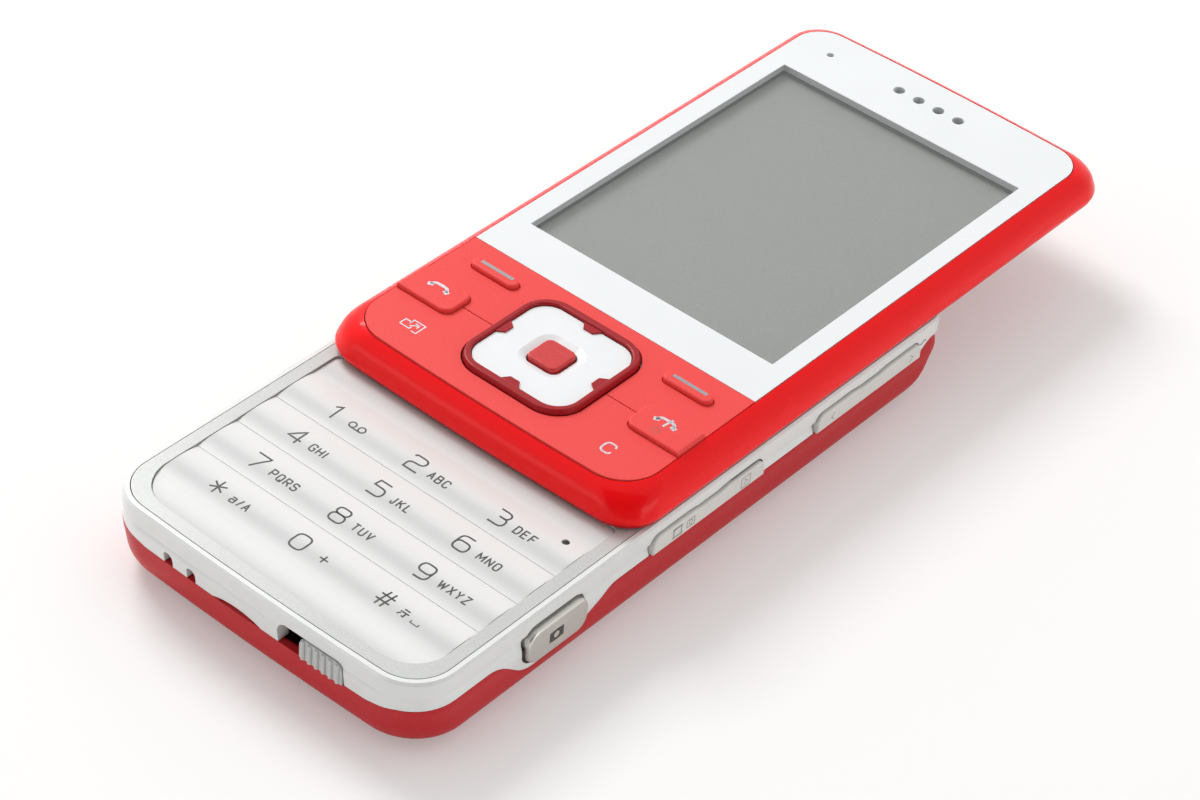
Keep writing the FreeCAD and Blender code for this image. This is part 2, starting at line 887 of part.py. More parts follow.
def side_clearance(extra):
    """Room for the side keys and their switches, cut out of the inner parts."""
    x0 = camera_key_back - press_gap - switch_depth - side_room - extra
    spans = (
        (camera_key_y, camera_key_half_y, camera_key_z - camera_key_half_z),
        (mode_rocker_y, mode_rocker_half, rocker_low),
        (zoom_rocker_y, zoom_rocker_half, rocker_low),
    )
    rooms = [box(x0, half_width, y - half - side_room_y, y + half + side_room_y, z - side_room_z, deck_z)
             for y, half, z in spans]
    rooms.append(box(x0, half_width, camera_key_y, zoom_rocker_y, rocker_low, deck_z))
    return rooms


def lever_clearance():
    return box(lever_slot_low - lever_room, lever_slot_high + lever_room,
               -half_length, -half_length + wall + lever_room_depth, cover_wall, lever_slot_top + lever_room)


def connector_body(gap):
    half_y = connector_half - connector_end_gap + gap
    half_z = connector_height / 2 - connector_side_gap + gap
    outer = -half_width + connector_recess
    return box(outer - gap, outer + connector_depth + gap, connector_y - half_y, connector_y + half_y,
               connector_z - half_z, connector_z + half_z)


def camera_space(gap):
    half = camera_side / 2 + gap
    return box(camera_x - half, camera_x + half, camera_y - half, camera_y + half,
               cover_wall, main_board_z + main_board_thickness + past)


def main_board():
    edge = outline(main_board_half, -half_length + wall + main_board_low,
                   half_length - wall - main_board_high,
                   main_board_low_radius, main_board_high_radius, 0, main_board_z)
    rooms = side_clearance(0) + [connector_body(board_gap), camera_space(board_gap), lever_clearance()]
    return cut_all(slab(edge, main_board_thickness), rooms)


def inner_chassis():
    """Tray behind the board, with a bay for the battery and four posts."""
    def tray(inset, low_radius, high_radius, z):
        return slab(outline(half_width - inset, -half_length + inset + chassis_low_gap,
                            half_length - inset - chassis_high_gap, low_radius, high_radius, 0, z),
                    chassis_height)

    inset = wall + chassis_gap
    hollow = inset + chassis_wall
    outside = tray(inset, lower_corner_bottom - inset, lower_corner_top - inset, chassis_z)
    pocket = tray(hollow, lower_corner_bottom - hollow, chassis_pocket_radius, chassis_z + chassis_floor)
    half_x = battery_half_width + bay_gap
    low = battery_low - bay_gap
    high = battery_high + bay_gap
    bay = rounded_box(0, (low + high) / 2, half_x + bay_wall, (high - low) / 2 + bay_wall, bay_round,
                      battery_z, chassis_z + weld)
    bay = bay.cut(box(-half_x, half_x, low - contact_block, high, battery_z - past, chassis_z))
    bay = bay.common(lower_envelope(cover_wall + bay_gap, deck_z))
    post_x = battery_half_width + chassis_post_offset
    posts = [cylinder(x, y, chassis_post_radius, chassis_z - chassis_post_length, chassis_z + weld)
             for x in (-post_x, post_x) for y in (battery_low, battery_high - chassis_post_end)]
    body = join([outside.cut(pocket), bay] + posts)
    return cut_all(body, side_clearance(bay_gap) + [connector_body(board_gap),
                                                    camera_space(board_gap + fit_gap), lever_clearance()])


def battery():
    cell = box(-battery_half_width, battery_half_width, battery_low, battery_high,
               battery_z, chassis_z - fit_gap)
    long_edges = [e for e in cell.Edges if e.BoundBox.YLength > flat]
    return cell.makeFillet(battery_round, long_edges).common(lower_envelope(cover_wall + fit_gap, deck_z))


def battery_contacts():
    high = battery_low - bay_gap
    half = contact_pitch * contact_blades / 2
    block = box(-half, half, high - contact_block, high, chassis_z - contact_height, chassis_z)
    blades = []
    for i in range(contact_blades):
        x = (i - (contact_blades - 1) / 2) * contact_pitch
        blades.append(box(x - blade_half_width, x + blade_half_width, high - blade_root,
                          battery_low - fit_gap, chassis_z - blade_low, chassis_z - blade_high))
    return join([block] + blades)


def keypad_mat():
    border = keypad_mat_border
    mat = slab(outline(keypad_half_width - border, keypad_low + border, keypad_high - border,
                       keypad_radius - border, keypad_mat_radius, 0, keypad_mat_z), mat_thickness)
    pins = [cylinder(x, y, key_plunger_radius, dome_z + dome_height + sliver, keypad_mat_z + weld)
            for x in key_columns for y in key_rows]
    return join([mat] + pins).cut(cylinder(mic_x, mic_y, mic_radius + mic_room, dome_z, deck_z))


def dome(x, y, z, radius, height):
    """Low spherical cap."""
    ball = (radius * radius + height * height) / (2 * height)
    sphere = Part.makeSphere(ball, V(x, y, z + height - ball))
    return sphere.common(cylinder(x, y, radius + sliver, z, z + height + weld))


def dome_sheet():
    z = dome_z - dome_sheet_thickness
    sheet = slab(outline(main_board_half - dome_sheet_margin, keypad_low + dome_sheet_low,
                         keypad_high - keypad_mat_border, dome_sheet_radius, keypad_mat_radius, 0, z),
                 dome_sheet_thickness)
    return sheet.multiFuse([dome(x, y, dome_z - sliver, dome_radius, dome_height)
                            for x in key_columns for y in key_rows])


def shield_can():
    high = main_board_z - fit_gap
    return rounded_box(0, (shield_low + shield_high) / 2, shield_half_width, (shield_high - shield_low) / 2,
                       shield_round, high - shield_height, high)


def camera_module():
    half = camera_side / 2
    bottom = shutter_z + shutter_sheet + fit_gap + barrel_height
    block = box(camera_x - half, camera_x + half, camera_y - half, camera_y + half, bottom,
                main_board_z + main_board_thickness - fit_gap)
    barrel = cylinder(camera_x, camera_y, camera_barrel, bottom - barrel_height, bottom + weld)
    aperture = Part.makeCone(camera_aperture, aperture_back, aperture_depth,
                             V(camera_x, camera_y, bottom - barrel_height))
    return block.fuse(barrel).cut(aperture)


def lens_ring():
    ring = tube(camera_x, camera_y, lens_ring_outer - insert_gap, lens_ring_inner,
                lens_ring_recess, cover_wall)
    seat = tube(camera_x, camera_y, lens_ring_inner + lens_seat_outer, lens_ring_inner - lens_seat_inner,
                lens_window_recess + lens_window_thickness, cover_wall)
    ring = ring.fuse(seat).removeSplitter()
    longest = 2 * math.pi * (lens_ring_inner + weld)
    rim = [e for e in edges_at(ring, lens_ring_recess) if e.Length < longest]
    return ring.makeChamfer(lens_ring_chamfer, rim)


def lens_window():
    return cylinder(camera_x, camera_y, lens_ring_inner - insert_gap, lens_window_recess,
                    lens_window_recess + lens_window_thickness)


def flash_window():
    window = cylinder(flash_x, camera_y, flash_radius - insert_gap, flash_recess, cover_wall)
    return window.fuse(cylinder(flash_x, camera_y, flash_radius + flash_flange, cover_wall,
                                cover_wall + flash_flange_height))


def flash_module():
    half = flash_side / 2
    return box(flash_x - half, flash_x + half, camera_y - half, camera_y + half,
               cover_wall + flash_flange_height, chassis_z)


def lens_shutter():
    """Shutter plate with its hole aside of the lens, an arm and the upright that carries the knob."""
    high = shutter_z + shutter_sheet
    hole_x = camera_x + lever_travel
    front_y = lever_back_y - lever_plate
    plate = box(camera_x - shutter_reach, hole_x + shutter_tail,
                camera_y - shutter_half_y, camera_y + shutter_half_y, shutter_z, high)
    plate = plate.cut(cylinder(hole_x, camera_y, camera_aperture + shutter_hole_gap,
                               shutter_z - past, high + past))
    arm = box(hole_x - shutter_arm_half, hole_x + shutter_arm_half,
              front_y, camera_y - shutter_half_y + weld, shutter_z, high)
    upright = box(hole_x - shutter_arm_half, hole_x + shutter_arm_half,
                  front_y, lever_back_y, shutter_z, lever_slot_top - lever_upright_drop)
    return join([plate, arm, upright])


def lens_lever():
    """Ribbed knob in the bottom end, at the closed end of its slot."""
    high_x = lever_slot_high - side_key_gap
    low_x = high_x - lever_knob_width
    rib_y = -half_length - lever_rise + lever_rib_radius
    z0 = boundary_bottom_z + lever_low_gap
    z1 = lever_slot_top - lever_high_gap
    block = box(low_x, high_x, rib_y, lever_back_y - lever_plate, z0, z1)
    corners = [e for e in edges_at(block, z1) if e.BoundBox.YLength > flat]
    block = block.makeFillet(lever_slot_radius - lever_high_gap, corners)
    first = (low_x + high_x) / 2 - lever_rib_pitch * (lever_ribs - 1) / 2
    ribs = [cylinder(first + i * lever_rib_pitch, rib_y, lever_rib_radius, z0 + weld, z1 - weld)
            for i in range(lever_ribs)]
    return join([block] + ribs)


def camera_key():
    face = half_width + camera_key_rise
    block = box(camera_key_back, face, camera_key_y - camera_key_half_y, camera_key_y + camera_key_half_y,
                camera_key_z - camera_key_half_z, camera_key_z + camera_key_half_z)
    block = block.makeFillet(camera_key_radius, [e for e in block.Edges if e.BoundBox.XLength > flat])
    return block.makeFillet(camera_key_round, edges_at_x(block, face))


def side_rocker(y, half):
    block = rocker_prism(y, half, 0, rocker_face - rocker_depth, rocker_face)
    return block.makeFillet(rocker_round, edges_at_x(block, rocker_face))


def side_switches():
    """Small switch blocks on one carrier strip, a pair behind each rocker and one behind the key."""
    low_z = rocker_low + switch_low_gap
    blocks = [box(switch_x - switch_depth - carrier_sheet, switch_x - switch_depth,
                  camera_key_y - camera_key_half_y, zoom_rocker_y + zoom_rocker_half,
                  low_z, rocker_high - carrier_high_gap)]
    for y, half in ((mode_rocker_y, mode_rocker_half), (zoom_rocker_y, zoom_rocker_half)):
        for middle in (y - half + switch_inset, y + half - switch_inset):
            blocks.append(box(switch_x - switch_depth, switch_x, middle - switch_half, middle + switch_half,
                              low_z, rocker_high - switch_high_gap))
    camera_switch_x = camera_key_back - press_gap
    blocks.append(box(camera_switch_x - switch_depth, camera_switch_x,
                      camera_key_y - switch_half, camera_key_y + switch_half,
                      camera_key_z - camera_switch_low, camera_key_z + camera_switch_high))
    return join(blocks)


def loudspeaker():
    low = cover_wall + fit_gap
    high = low + speaker_height
    body = rounded_box(speaker_x, speaker_y, speaker_half_x, speaker_half_y, speaker_round, low, high)
    post = rounded_box(speaker_x, speaker_y, speaker_half_x - speaker_post_inset,
                       speaker_half_y - speaker_post_inset, speaker_post_round, high - weld, chassis_z)
    return body.fuse(post).common(lower_envelope(cover_wall + fit_gap, deck_z))


def vibration_motor():
    z = chassis_z - motor_radius
    end = motor_x + motor_length
    weight_radius = motor_radius - motor_weight_inset
    return join([
        rod(motor_x, motor_y, z, motor_radius, motor_length, X_AXIS),
        rod(end, motor_y, z, motor_shaft_radius, motor_shaft_length, X_AXIS),
        rod(end + motor_weight_gap, motor_y, z, weight_radius, motor_weight_length, X_AXIS),
    ])


def card_holder():
    low_x = card_x - card_half_x
    high_x = card_x + card_half_x
    low_z = chassis_z - card_height
    inner = card_half_y - card_wall
    body = box(low_x, high_x, card_y - card_half_y, card_y + card_half_y, low_z, chassis_z)
    slot = box(low_x + card_wall, high_x + past, card_y - inner, card_y + inner,
               low_z + card_floor, chassis_z - card_roof)
    window = box(card_x - card_window_reach, high_x + past, card_y - card_window_half,
                 card_y + card_window_half, low_z - past, low_z + card_window_depth)
    return body.cut(slot).cut(window)


def system_connector():
    half = connector_half - connector_mouth_end
    mouth = box(-half_width - past, -half_width + connector_recess + connector_mouth_depth,
                connector_y - half, connector_y + half,
                connector_z - connector_mouth_half, connector_z + connector_mouth_half)
    return connector_body(0).cut(mouth)


# ================================================================ slide
def slide_base():
    """Steel base plate on the lower half: floor, two webs, outward tongues and two screw lugs."""
    half = rail_half_width
    floor_top = deck_z + rail_floor
    plate = end_profile([
        (-half - tongue_reach, tongue_z), (-half - tongue_reach, tongue_top), (-half + rail_web, tongue_top),
        (-half + rail_web, floor_top), (half - rail_web, floor_top),
        (half - rail_web, tongue_top), (half + tongue_reach, tongue_top), (half + tongue_reach, tongue_z),
        (half, tongue_z), (half, deck_z), (-half, deck_z), (-half, tongue_z),
    ], base_low, base_high)
    lug_top = deck_z + base_lug_sheet
    lugs = []
    for side in (-1, 1):
        x0, x1 = sorted((side * base_lug_x, side * (half - base_lug_root)))
        lugs.append(cylinder(side * base_lug_x, base_lug_y, base_lug_radius, deck_z, lug_top))
        lugs.append(box(x0, x1, base_lug_y - base_lug_arm, base_lug_y + base_lug_radius, deck_z, lug_top))
    window_x = half - base_window_inset
    window_half = (base_half_length - base_window_end - base_window_middle) / 2
    window_y = base_window_middle + window_half
    windows = [rounded_box(x, base_middle + y, base_window_half, window_half, base_window_round,
                           deck_z - past, floor_top + past)
               for x in (-window_x, window_x) for y in (-window_y, window_y)]
    return cut_all(join([plate] + lugs), windows)


def screw(x, y, z, height):
    """Flat head with a cross slot; z is the seat under the head."""
    head = cylinder(x, y, screw_head_radius, z, z + height)
    reach = screw_head_radius * screw_slot_reach
    floor = z + height * (1 - screw_slot_depth)
    for a, b in ((reach, screw_slot_half), (screw_slot_half, reach)):
        head = head.cut(box(x - a, x + a, y - b, y + b, floor, z + height + past))
    return head


def base_screws():
    screw_y = base_half_length - base_screw_inset
    screws = [screw(0, base_middle + y, deck_z + rail_floor, screw_head_height) for y in (-screw_y, screw_y)]
    screws += [screw(x, base_lug_y, deck_z + base_lug_sheet, lug_screw_height)
               for x in (-base_lug_x, base_lug_x)]
    return Part.makeCompound(screws)


def slide_carriage():
    """Steel slider plate on the upper half; its channels run round the tongues."""
    low_z = recess_z - carriage_sheet
    half = carriage_length / 2
    pieces = [rounded_box(0, 0, channel_out, carriage_half_length, carriage_round, low_z, recess_z)]
    for side in (-1, 1):
        web = sorted((side * channel_in, side * channel_out))
        lip = sorted((side * (channel_in - lip_reach), side * channel_out))
        pieces.append(box(web[0], web[1], -half, half, under_z, low_z + weld))
        pieces.append(box(lip[0], lip[1], -half, half, under_z, under_z + lip_thickness))
    window_half = (carriage_half_length - carriage_window_inset - carriage_window_low) / 2
    window_y = carriage_window_low + window_half
    windows = [rounded_box(0, y, carriage_window_half, window_half, carriage_window_round,
                           low_z - past, recess_z + past) for y in (-window_y, window_y)]
    return cut_all(join(pieces), windows)


def carriage_screws():
    """Four heads that hang under the slider plate."""
    screw_x = rail_half_width - carriage_screw_inset
    screw_y = carriage_half_length - carriage_screw_end
    heads = []
    for x in (-screw_x, screw_x):
        for y in (-screw_y, screw_y):
            head = screw(x, y, carriage_sheet - recess_z, carriage_screw_height)
            head.rotate(V(0, 0, 0), X_AXIS, 180)
            heads.append(head)
    return Part.makeCompound(heads)


def assist_spring():
    """Torsion spring between base and carriage: one flat coil and two legs."""
    y = base_high - spring_inset
    z = deck_z + rail_floor + spring_lift + spring_wire / 2
    wires = [Part.makeTorus(spring_coil_radius, spring_wire / 2, V(0, y, z))]
    for side in (-1, 1):
        direction = V(side * spring_leg_slope, -1, 0)
        wires.append(rod(side * spring_coil_radius, y, z, spring_wire / 2, spring_leg, direction))
    return join(wires)


def slide_flex():
    """Ribbon cable folded once in a U between the two halves."""
    low = deck_z + rail_floor + flex_gap
    high = recess_z - carriage_sheet - flex_gap
    radius = (high - low) / 2
    inner = radius - flex_sheet
    y1 = flex_fold_y
    y0 = y1 - flex_length

    def p(y, z):
        return V(-flex_width / 2, y, z)

    wire = Part.Wire([
        line(p(y0, low), p(y1, low)),
        arc(p(y1, low), p(y1 + radius, low + radius), p(y1, high)),
        line(p(y1, high), p(y0, high)),
        line(p(y0, high), p(y0, high - flex_sheet)),
        line(p(y0, high - flex_sheet), p(y1, high - flex_sheet)),
        arc(p(y1, high - flex_sheet), p(y1 + inner, low + radius), p(y1, low + flex_sheet)),
        line(p(y1, low + flex_sheet), p(y0, low + flex_sheet)),
        line(p(y0, low + flex_sheet), p(y0, low)),
    ])
    return Part.Face(wire).extrude(V(flex_width, 0, 0))


# ================================================================ upper half
def plate_outline(gap, z):
    return outline(plate_half_width + gap, plate_low - gap, plate_high + gap,
                   plate_low_radius + gap, plate_high_radius + gap, plate_bulge, z)


def upper_section(inset, low_radius, high_radius, z):
    return outline(half_width - inset, -half_length + inset, half_length - inset,
                   low_radius, high_radius, end_bulge, z)


def upper_envelope():
    """Outer form: an arc from the plates' edge to the widest level, then a tucked-in underside."""
    top_angle = math.acos(1 - plate_border / bezel_round)
    widest_z = plate_z - bezel_round * math.sin(top_angle)
    sections = []
    for i in range(under_steps):
        share = 1 - i / under_steps
        turn = math.pi / 2 * share
        radius = upper_corner + (under_corner - upper_corner) * share
        sections.append(upper_section(under_run * (1 - math.cos(turn)), radius, radius,
                                      widest_z - (widest_z - under_z) * math.sin(turn)))
    for i in range(bezel_steps + 1):
        share = i / bezel_steps
        turn = top_angle * share
        low_radius = upper_corner + (plate_low_radius - upper_corner) * share
        high_radius = upper_corner + (plate_high_radius - upper_corner) * share
        sections.append(upper_section(bezel_round * (1 - math.cos(turn)), low_radius, high_radius,
                                      widest_z + bezel_round * math.sin(turn)))
    return Part.makeLoft(sections, True, False)


def upper_housing():
    """Red tray: mouth for the plates, pocket for the display, slide recess and edge notch."""
    half = housing_notch_length / 2
    return cut_all(upper_envelope(), [
        slab(plate_outline(plate_gap, ledge_z), panel_thickness + past),
        slab(plate_outline(-ledge_width, board_z), plate_z),
        rounded_box(0, 0, channel_out + recess_side_gap, half_length - recess_end, recess_round,
                    under_z - past, recess_z),
        box(half_width - housing_notch_depth, half_width + past, housing_notch_y - half,
            housing_notch_y + half, under_z - past, under_z + housing_notch_height),
    ])


def front_panel():
    low_z = ledge_z - past
    high_z = plate_z + past
    panel = slab(plate_outline(0, ledge_z), panel_thickness)
    panel = panel.common(box(-half_width, half_width, panel_split + seam / 2, half_length, low_z, high_z))
    cuts = [box(-screen_half_width, screen_half_width, screen_low, screen_high, low_z, high_z),
            cylinder(sensor_x, sensor_y, sensor_radius, low_z, high_z)]
    for i in range(earpiece_holes):
        x = (i - (earpiece_holes - 1) / 2) * earpiece_pitch
        cuts.append(cylinder(x, earpiece_y, earpiece_hole, low_z, high_z))
    return cut_all(panel, cuts)


def screen_block(margin, low_extra, z0, z1):
    """Block of the display opening's size, grown or shrunk by margin."""
    half = screen_half_width + margin
    return box(-half, half, screen_low - margin - low_extra, screen_high + margin, z0, z1)


def display_parts():
    floor = board_z + board_thickness
    mesh_z = ledge_z - mesh_thickness
    gasket = screen_block(gasket_rim, 0, gasket_z, ledge_z)
    return {
        "screen_window": screen_block(-insert_gap, 0, ledge_z, plate_z - insert_gap),
        "display_gasket": gasket.cut(screen_block(0, 0, gasket_z - past, ledge_z + past)),
        "lcd_module": screen_block(lcd_margin, lcd_tail, gasket_z - lcd_thickness, gasket_z),
        "display_board": slab(plate_outline(-ledge_width - board_margin, board_z), board_thickness),
        "earpiece_speaker": rounded_box(0, earpiece_y - earpiece_shift, earpiece_half_length,
                                        earpiece_half_width, earpiece_round, floor, mesh_z),
        "earpiece_mesh": rounded_box(0, earpiece_y, earpiece_half_length - mesh_end_margin,
                                     earpiece_half_width - mesh_side_margin, mesh_round, mesh_z, ledge_z),
        "light_sensor": cylinder(sensor_x, sensor_y, sensor_body_radius, floor, ledge_z),
    }


def call_key_room(z0, z1, gap):
    """Corner block of the plate that the end key, or mirrored the call key, fills."""
    block = box(call_key_inner - gap, half_width, call_key_low - gap, call_key_high + gap, z0, z1)
    inner = [e for e in block.Edges if e.BoundBox.ZLength > flat and e.BoundBox.XMax < plate_half_width]
    return block.makeFillet(call_key_corner + gap, inner)


def soft_key_block(side, grow, z0, z1):
    radius = soft_key_width / 2 + grow
    return rounded_box(side * soft_key_x, soft_key_y, soft_key_length / 2 + grow, radius, radius - sliver,
                       z0, z1)


def nav_block(grow, z0, z1):
    return rounded_box(0, nav_y, nav_half + grow, nav_half + grow, nav_radius + grow, z0, z1)


def key_plates():
    """The red plate with the key openings, and the rocking plate below it."""
    low_z = ledge_z - past
    high_z = plate_z + key_rise + past
    under = plate_z - function_thickness
    mat_top = upper_mat_z + mat_thickness
    whole = slab(plate_outline(0, ledge_z), panel_thickness)
    end_room = call_key_room(low_z, high_z, key_gap)
    rooms = [nav_block(nav_gap, low_z, high_z), end_room, mirrored(end_room)]
    upper = whole.common(box(-half_width, half_width, function_split + seam, panel_split - seam / 2,
                             ledge_z, plate_z))
    lower = whole.common(box(-half_width, half_width, -half_length, function_split - seam, under, plate_z))
    upper = cut_all(upper, rooms + [soft_key_block(side, key_gap, low_z, high_z) for side in (-1, 1)])
    bosses = [cylinder(x, menu_y, function_boss, mat_top + press_gap, under + weld)
              for x in (-menu_x, menu_x)]
    foot = box(-function_foot, function_foot, plate_low + ledge_width + function_foot_margin,
               nav_y - nav_half - nav_gap - function_foot_margin, mat_top + fit_gap, under + weld)
    return upper, join([cut_all(lower, rooms), foot] + bosses)


def soft_key(side):
    top = plate_z + key_rise
    body = soft_key_block(side, 0, skirt_z, top)
    body = body.makeFillet(soft_key_round, edges_at(body, top))
    skirt = soft_key_block(side, key_skirt, skirt_z, skirt_z + key_skirt_thickness)
    return body.fuse(skirt).removeSplitter()


def end_key():
    """Wedge-cornered key that fills the plate's right edge; the call key is its mirror image."""
    top = plate_z + key_rise
    whole = slab(plate_outline(0, skirt_z), top - skirt_z)
    body = whole.common(call_key_room(skirt_z, top, 0))
    body = body.makeFillet(call_key_round, edges_at(body, top))
    ledge_edge = plate_half_width - ledge_width - skirt_side_gap
    return body.cut(box(ledge_edge, half_width, -half_length, half_length,
                        skirt_z - past, ledge_z + press_gap))


def nav_tab(turn, z0, z1):
    """Inward tab of the ring, on the side given by quarter turns."""
    reach = nav_open_half_y if turn % 2 else nav_open_half_x
    base = nav_tab_base / 2
    tip = nav_tab_tip / 2
    corners = [(reach + nav_tab_root, -base), (reach + nav_tab_root, base), (reach, base),
               (reach - nav_tab_depth, tip), (reach - nav_tab_depth, -tip), (reach, -base)]
    wire = Part.makePolygon([V(x, y, z0) for x, y in corners + corners[:1]])
    tab = slab(wire, z1 - z0)
    tab.rotate(V(0, 0, 0), Z_AXIS, 90 * turn)
    return tab.translated(V(0, nav_y, 0))


def nav_key():
    """Raised square ring with four inward tabs, and the dished pad it frames."""
    z0 = ledge_z + nav_lift
    crest = plate_z + nav_rise
    crest_half = nav_half - nav_draft
    side = tapered_box(0, nav_y, nav_half, nav_half, nav_radius, plate_z,
                       crest_half, crest_half, nav_radius - nav_draft, crest)
    opening = tapered_box(0, nav_y, nav_open_half_x, nav_open_half_y, nav_open_radius, z0 - past,
                          nav_open_half_x + nav_open_draft, nav_open_half_y + nav_open_draft,
                          nav_open_radius + nav_open_draft, crest + sliver)
    ring = join([side, nav_block(0, z0, plate_z)]).cut(opening)
    ring = ring.makeFillet(nav_round, edges_at(ring, crest))
    ring = join([ring] + [nav_tab(turn, z0, crest - nav_tab_drop) for turn in range(4)])

    pad_top = plate_z + pad_rise
    hole = select_half + select_gap
    hole_radius = select_radius + select_gap
    rim = hole + pad_dish_reach
    pad = rounded_box(0, nav_y, nav_open_half_x, nav_open_half_y, nav_open_radius, z0, pad_top)
    pad = cut_all(pad, [
        ring,
        rounded_box(0, nav_y, hole, hole, hole_radius, z0 - past, pad_top + past),
        tapered_box(0, nav_y, hole, hole, hole_radius, pad_top - pad_dish,
                    rim, rim, hole_radius + pad_dish_reach, pad_top + sliver),
    ])
    return ring, pad


def select_button():
    top = plate_z + select_rise
    body = rounded_box(0, nav_y, select_half, select_half, select_radius, skirt_z, top)
    return body.makeFillet(select_round, edges_at(body, top))


def upper_mat():
    """Silicone mat under the front keys with a plunger for each, and the dome sheet below it."""
    inset = ledge_width + mat_border
    half = plate_half_width - inset
    low = plate_low + inset
    high = screen_low - lcd_margin - lcd_tail - mat_border
    corner = plate_low_radius - ledge_width
    floor = board_z + board_thickness + dome_sheet_thickness
    call_x = call_key_inner + call_plunger_x
    call_y = (call_key_low + call_key_high) / 2
    spots = [
        (-soft_key_x, soft_key_y), (soft_key_x, soft_key_y), (-call_x, call_y), (call_x, call_y),
        (0, nav_y), (0, nav_y + nav_plunger_reach), (0, nav_y - nav_plunger_reach),
        (nav_plunger_reach, nav_y), (-nav_plunger_reach, nav_y), (-menu_x, menu_y), (menu_x, menu_y),
    ]

    def layer(z0, z1):
        return rounded_box(0, (low + high) / 2, half, (high - low) / 2, corner, z0, z1)

    pins = [cylinder(x, y, plunger_radius, floor + dome_height, upper_mat_z + weld) for x, y in spots]
    caps = [dome(x, y, floor - sliver, front_dome_radius, dome_height) for x, y in spots]
    mat = join([layer(upper_mat_z, upper_mat_z + mat_thickness)] + pins)
    return mat, layer(floor - dome_sheet_thickness, floor).multiFuse(caps)


def nav_gimbal():
    """Rubber rocking collar under the navigation key."""
    return tube(0, nav_y, gimbal_outer, gimbal_inner, ledge_z - gimbal_thickness, ledge_z)


# ================================================================ build
def build_lower():
    for i, row in enumerate(keypad_rows()):
        parts["keypad_row_%d" % (i + 1)] = row
    parts.update({
        "lower_frame": lower_frame(),
        "deck_plate": deck_plate(),
        "back_cover": back_cover(),
        "keypad_mat": keypad_mat(),
        "dome_sheet": dome_sheet(),
        "main_board": main_board(),
        "shield_can": shield_can(),
        "inner_chassis": inner_chassis(),
        "battery": battery(),
        "battery_contacts": battery_contacts(),
        "camera_module": camera_module(),
        "lens_ring": lens_ring(),
        "lens_window": lens_window(),
        "flash_window": flash_window(),
        "flash_module": flash_module(),
        "lens_shutter": lens_shutter(),
        "lens_lever": lens_lever(),
        "camera_key": camera_key(),
        "mode_rocker": side_rocker(mode_rocker_y, mode_rocker_half),
        "zoom_rocker": side_rocker(zoom_rocker_y, zoom_rocker_half),
        "side_switches": side_switches(),
        "loudspeaker": loudspeaker(),
        "vibration_motor": vibration_motor(),
        "card_holder": card_holder(),
        "system_connector": system_connector(),
        "slide_base": slide_base(),
        "base_screws": base_screws(),
        "assist_spring": assist_spring(),
        "slide_flex": slide_flex(),
    })


def build_upper():
    """Pieces drawn round the upper half's own centre, then moved to the open position."""
    plate, function_plate = key_plates()
    ring, pad = nav_key()
    mat, domes = upper_mat()
    end = end_key()
    pieces = {
        "upper_housing": upper_housing(),
        "front_panel": front_panel(),
        "key_plate": plate,
        "function_plate": function_plate,
        "soft_key_left": soft_key(-1),
        "soft_key_right": soft_key(1),
        "call_key": mirrored(end),
        "end_key": end,
        "nav_ring": ring,
        "nav_pad": pad,
        "nav_gimbal": nav_gimbal(),
        "select_button": select_button(),
        "upper_keymat": mat,
        "upper_dome_sheet": domes,
        "slide_carriage": slide_carriage(),
        "carriage_screws": carriage_screws(),
    }
    pieces.update(display_parts())
    for name, shape in pieces.items():
        parts[name] = on_upper(shape)


build_lower()
build_upper()

os.makedirs("parts", exist_ok=True)
for name, shape in sorted(parts.items()):
    solids = shape.Solids
    body = solids[0] if len(solids) == 1 else Part.makeCompound(solids)
    body.exportStep("parts/%s.step" % name)
    reach = body.BoundBox
    print("%-18s %d solid(s) %9.2f mm3  x %.2f..%.2f  y %.2f..%.2f  z %.2f..%.2f %s" % (
        name, len(solids), sum(s.Volume for s in solids), reach.XMin, reach.XMax, reach.YMin, reach.YMax,
        reach.ZMin, reach.ZMax, "" if body.isValid() else "NOT VALID"))
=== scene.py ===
import json
import math

import bpy
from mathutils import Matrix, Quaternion, Vector
from mathutils.bvhtree import BVHTree


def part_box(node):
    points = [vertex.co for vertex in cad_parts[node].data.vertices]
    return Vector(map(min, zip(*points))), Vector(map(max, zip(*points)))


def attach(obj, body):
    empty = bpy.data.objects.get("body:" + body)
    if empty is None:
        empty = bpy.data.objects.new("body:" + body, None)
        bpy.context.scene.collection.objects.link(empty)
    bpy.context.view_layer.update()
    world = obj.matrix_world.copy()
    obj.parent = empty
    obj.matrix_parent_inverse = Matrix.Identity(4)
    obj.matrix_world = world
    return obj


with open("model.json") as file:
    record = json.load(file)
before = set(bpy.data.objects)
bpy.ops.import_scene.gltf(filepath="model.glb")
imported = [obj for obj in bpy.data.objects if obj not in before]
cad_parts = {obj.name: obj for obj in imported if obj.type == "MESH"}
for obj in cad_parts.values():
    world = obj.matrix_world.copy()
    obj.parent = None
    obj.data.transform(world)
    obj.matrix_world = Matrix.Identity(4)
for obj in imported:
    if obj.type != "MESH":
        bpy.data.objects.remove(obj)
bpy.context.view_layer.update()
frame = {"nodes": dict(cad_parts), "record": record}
nodes = frame["nodes"]

# Sizes below are in millimetres and are turned to metres with MM.
MM = 0.001
SLIDE_OPEN = 35.0          # the upper half's own centre lies this far up the lower half's
X_AXIS = Vector((1, 0, 0))
Y_AXIS = Vector((0, 1, 0))
Z_AXIS = Vector((0, 0, 1))


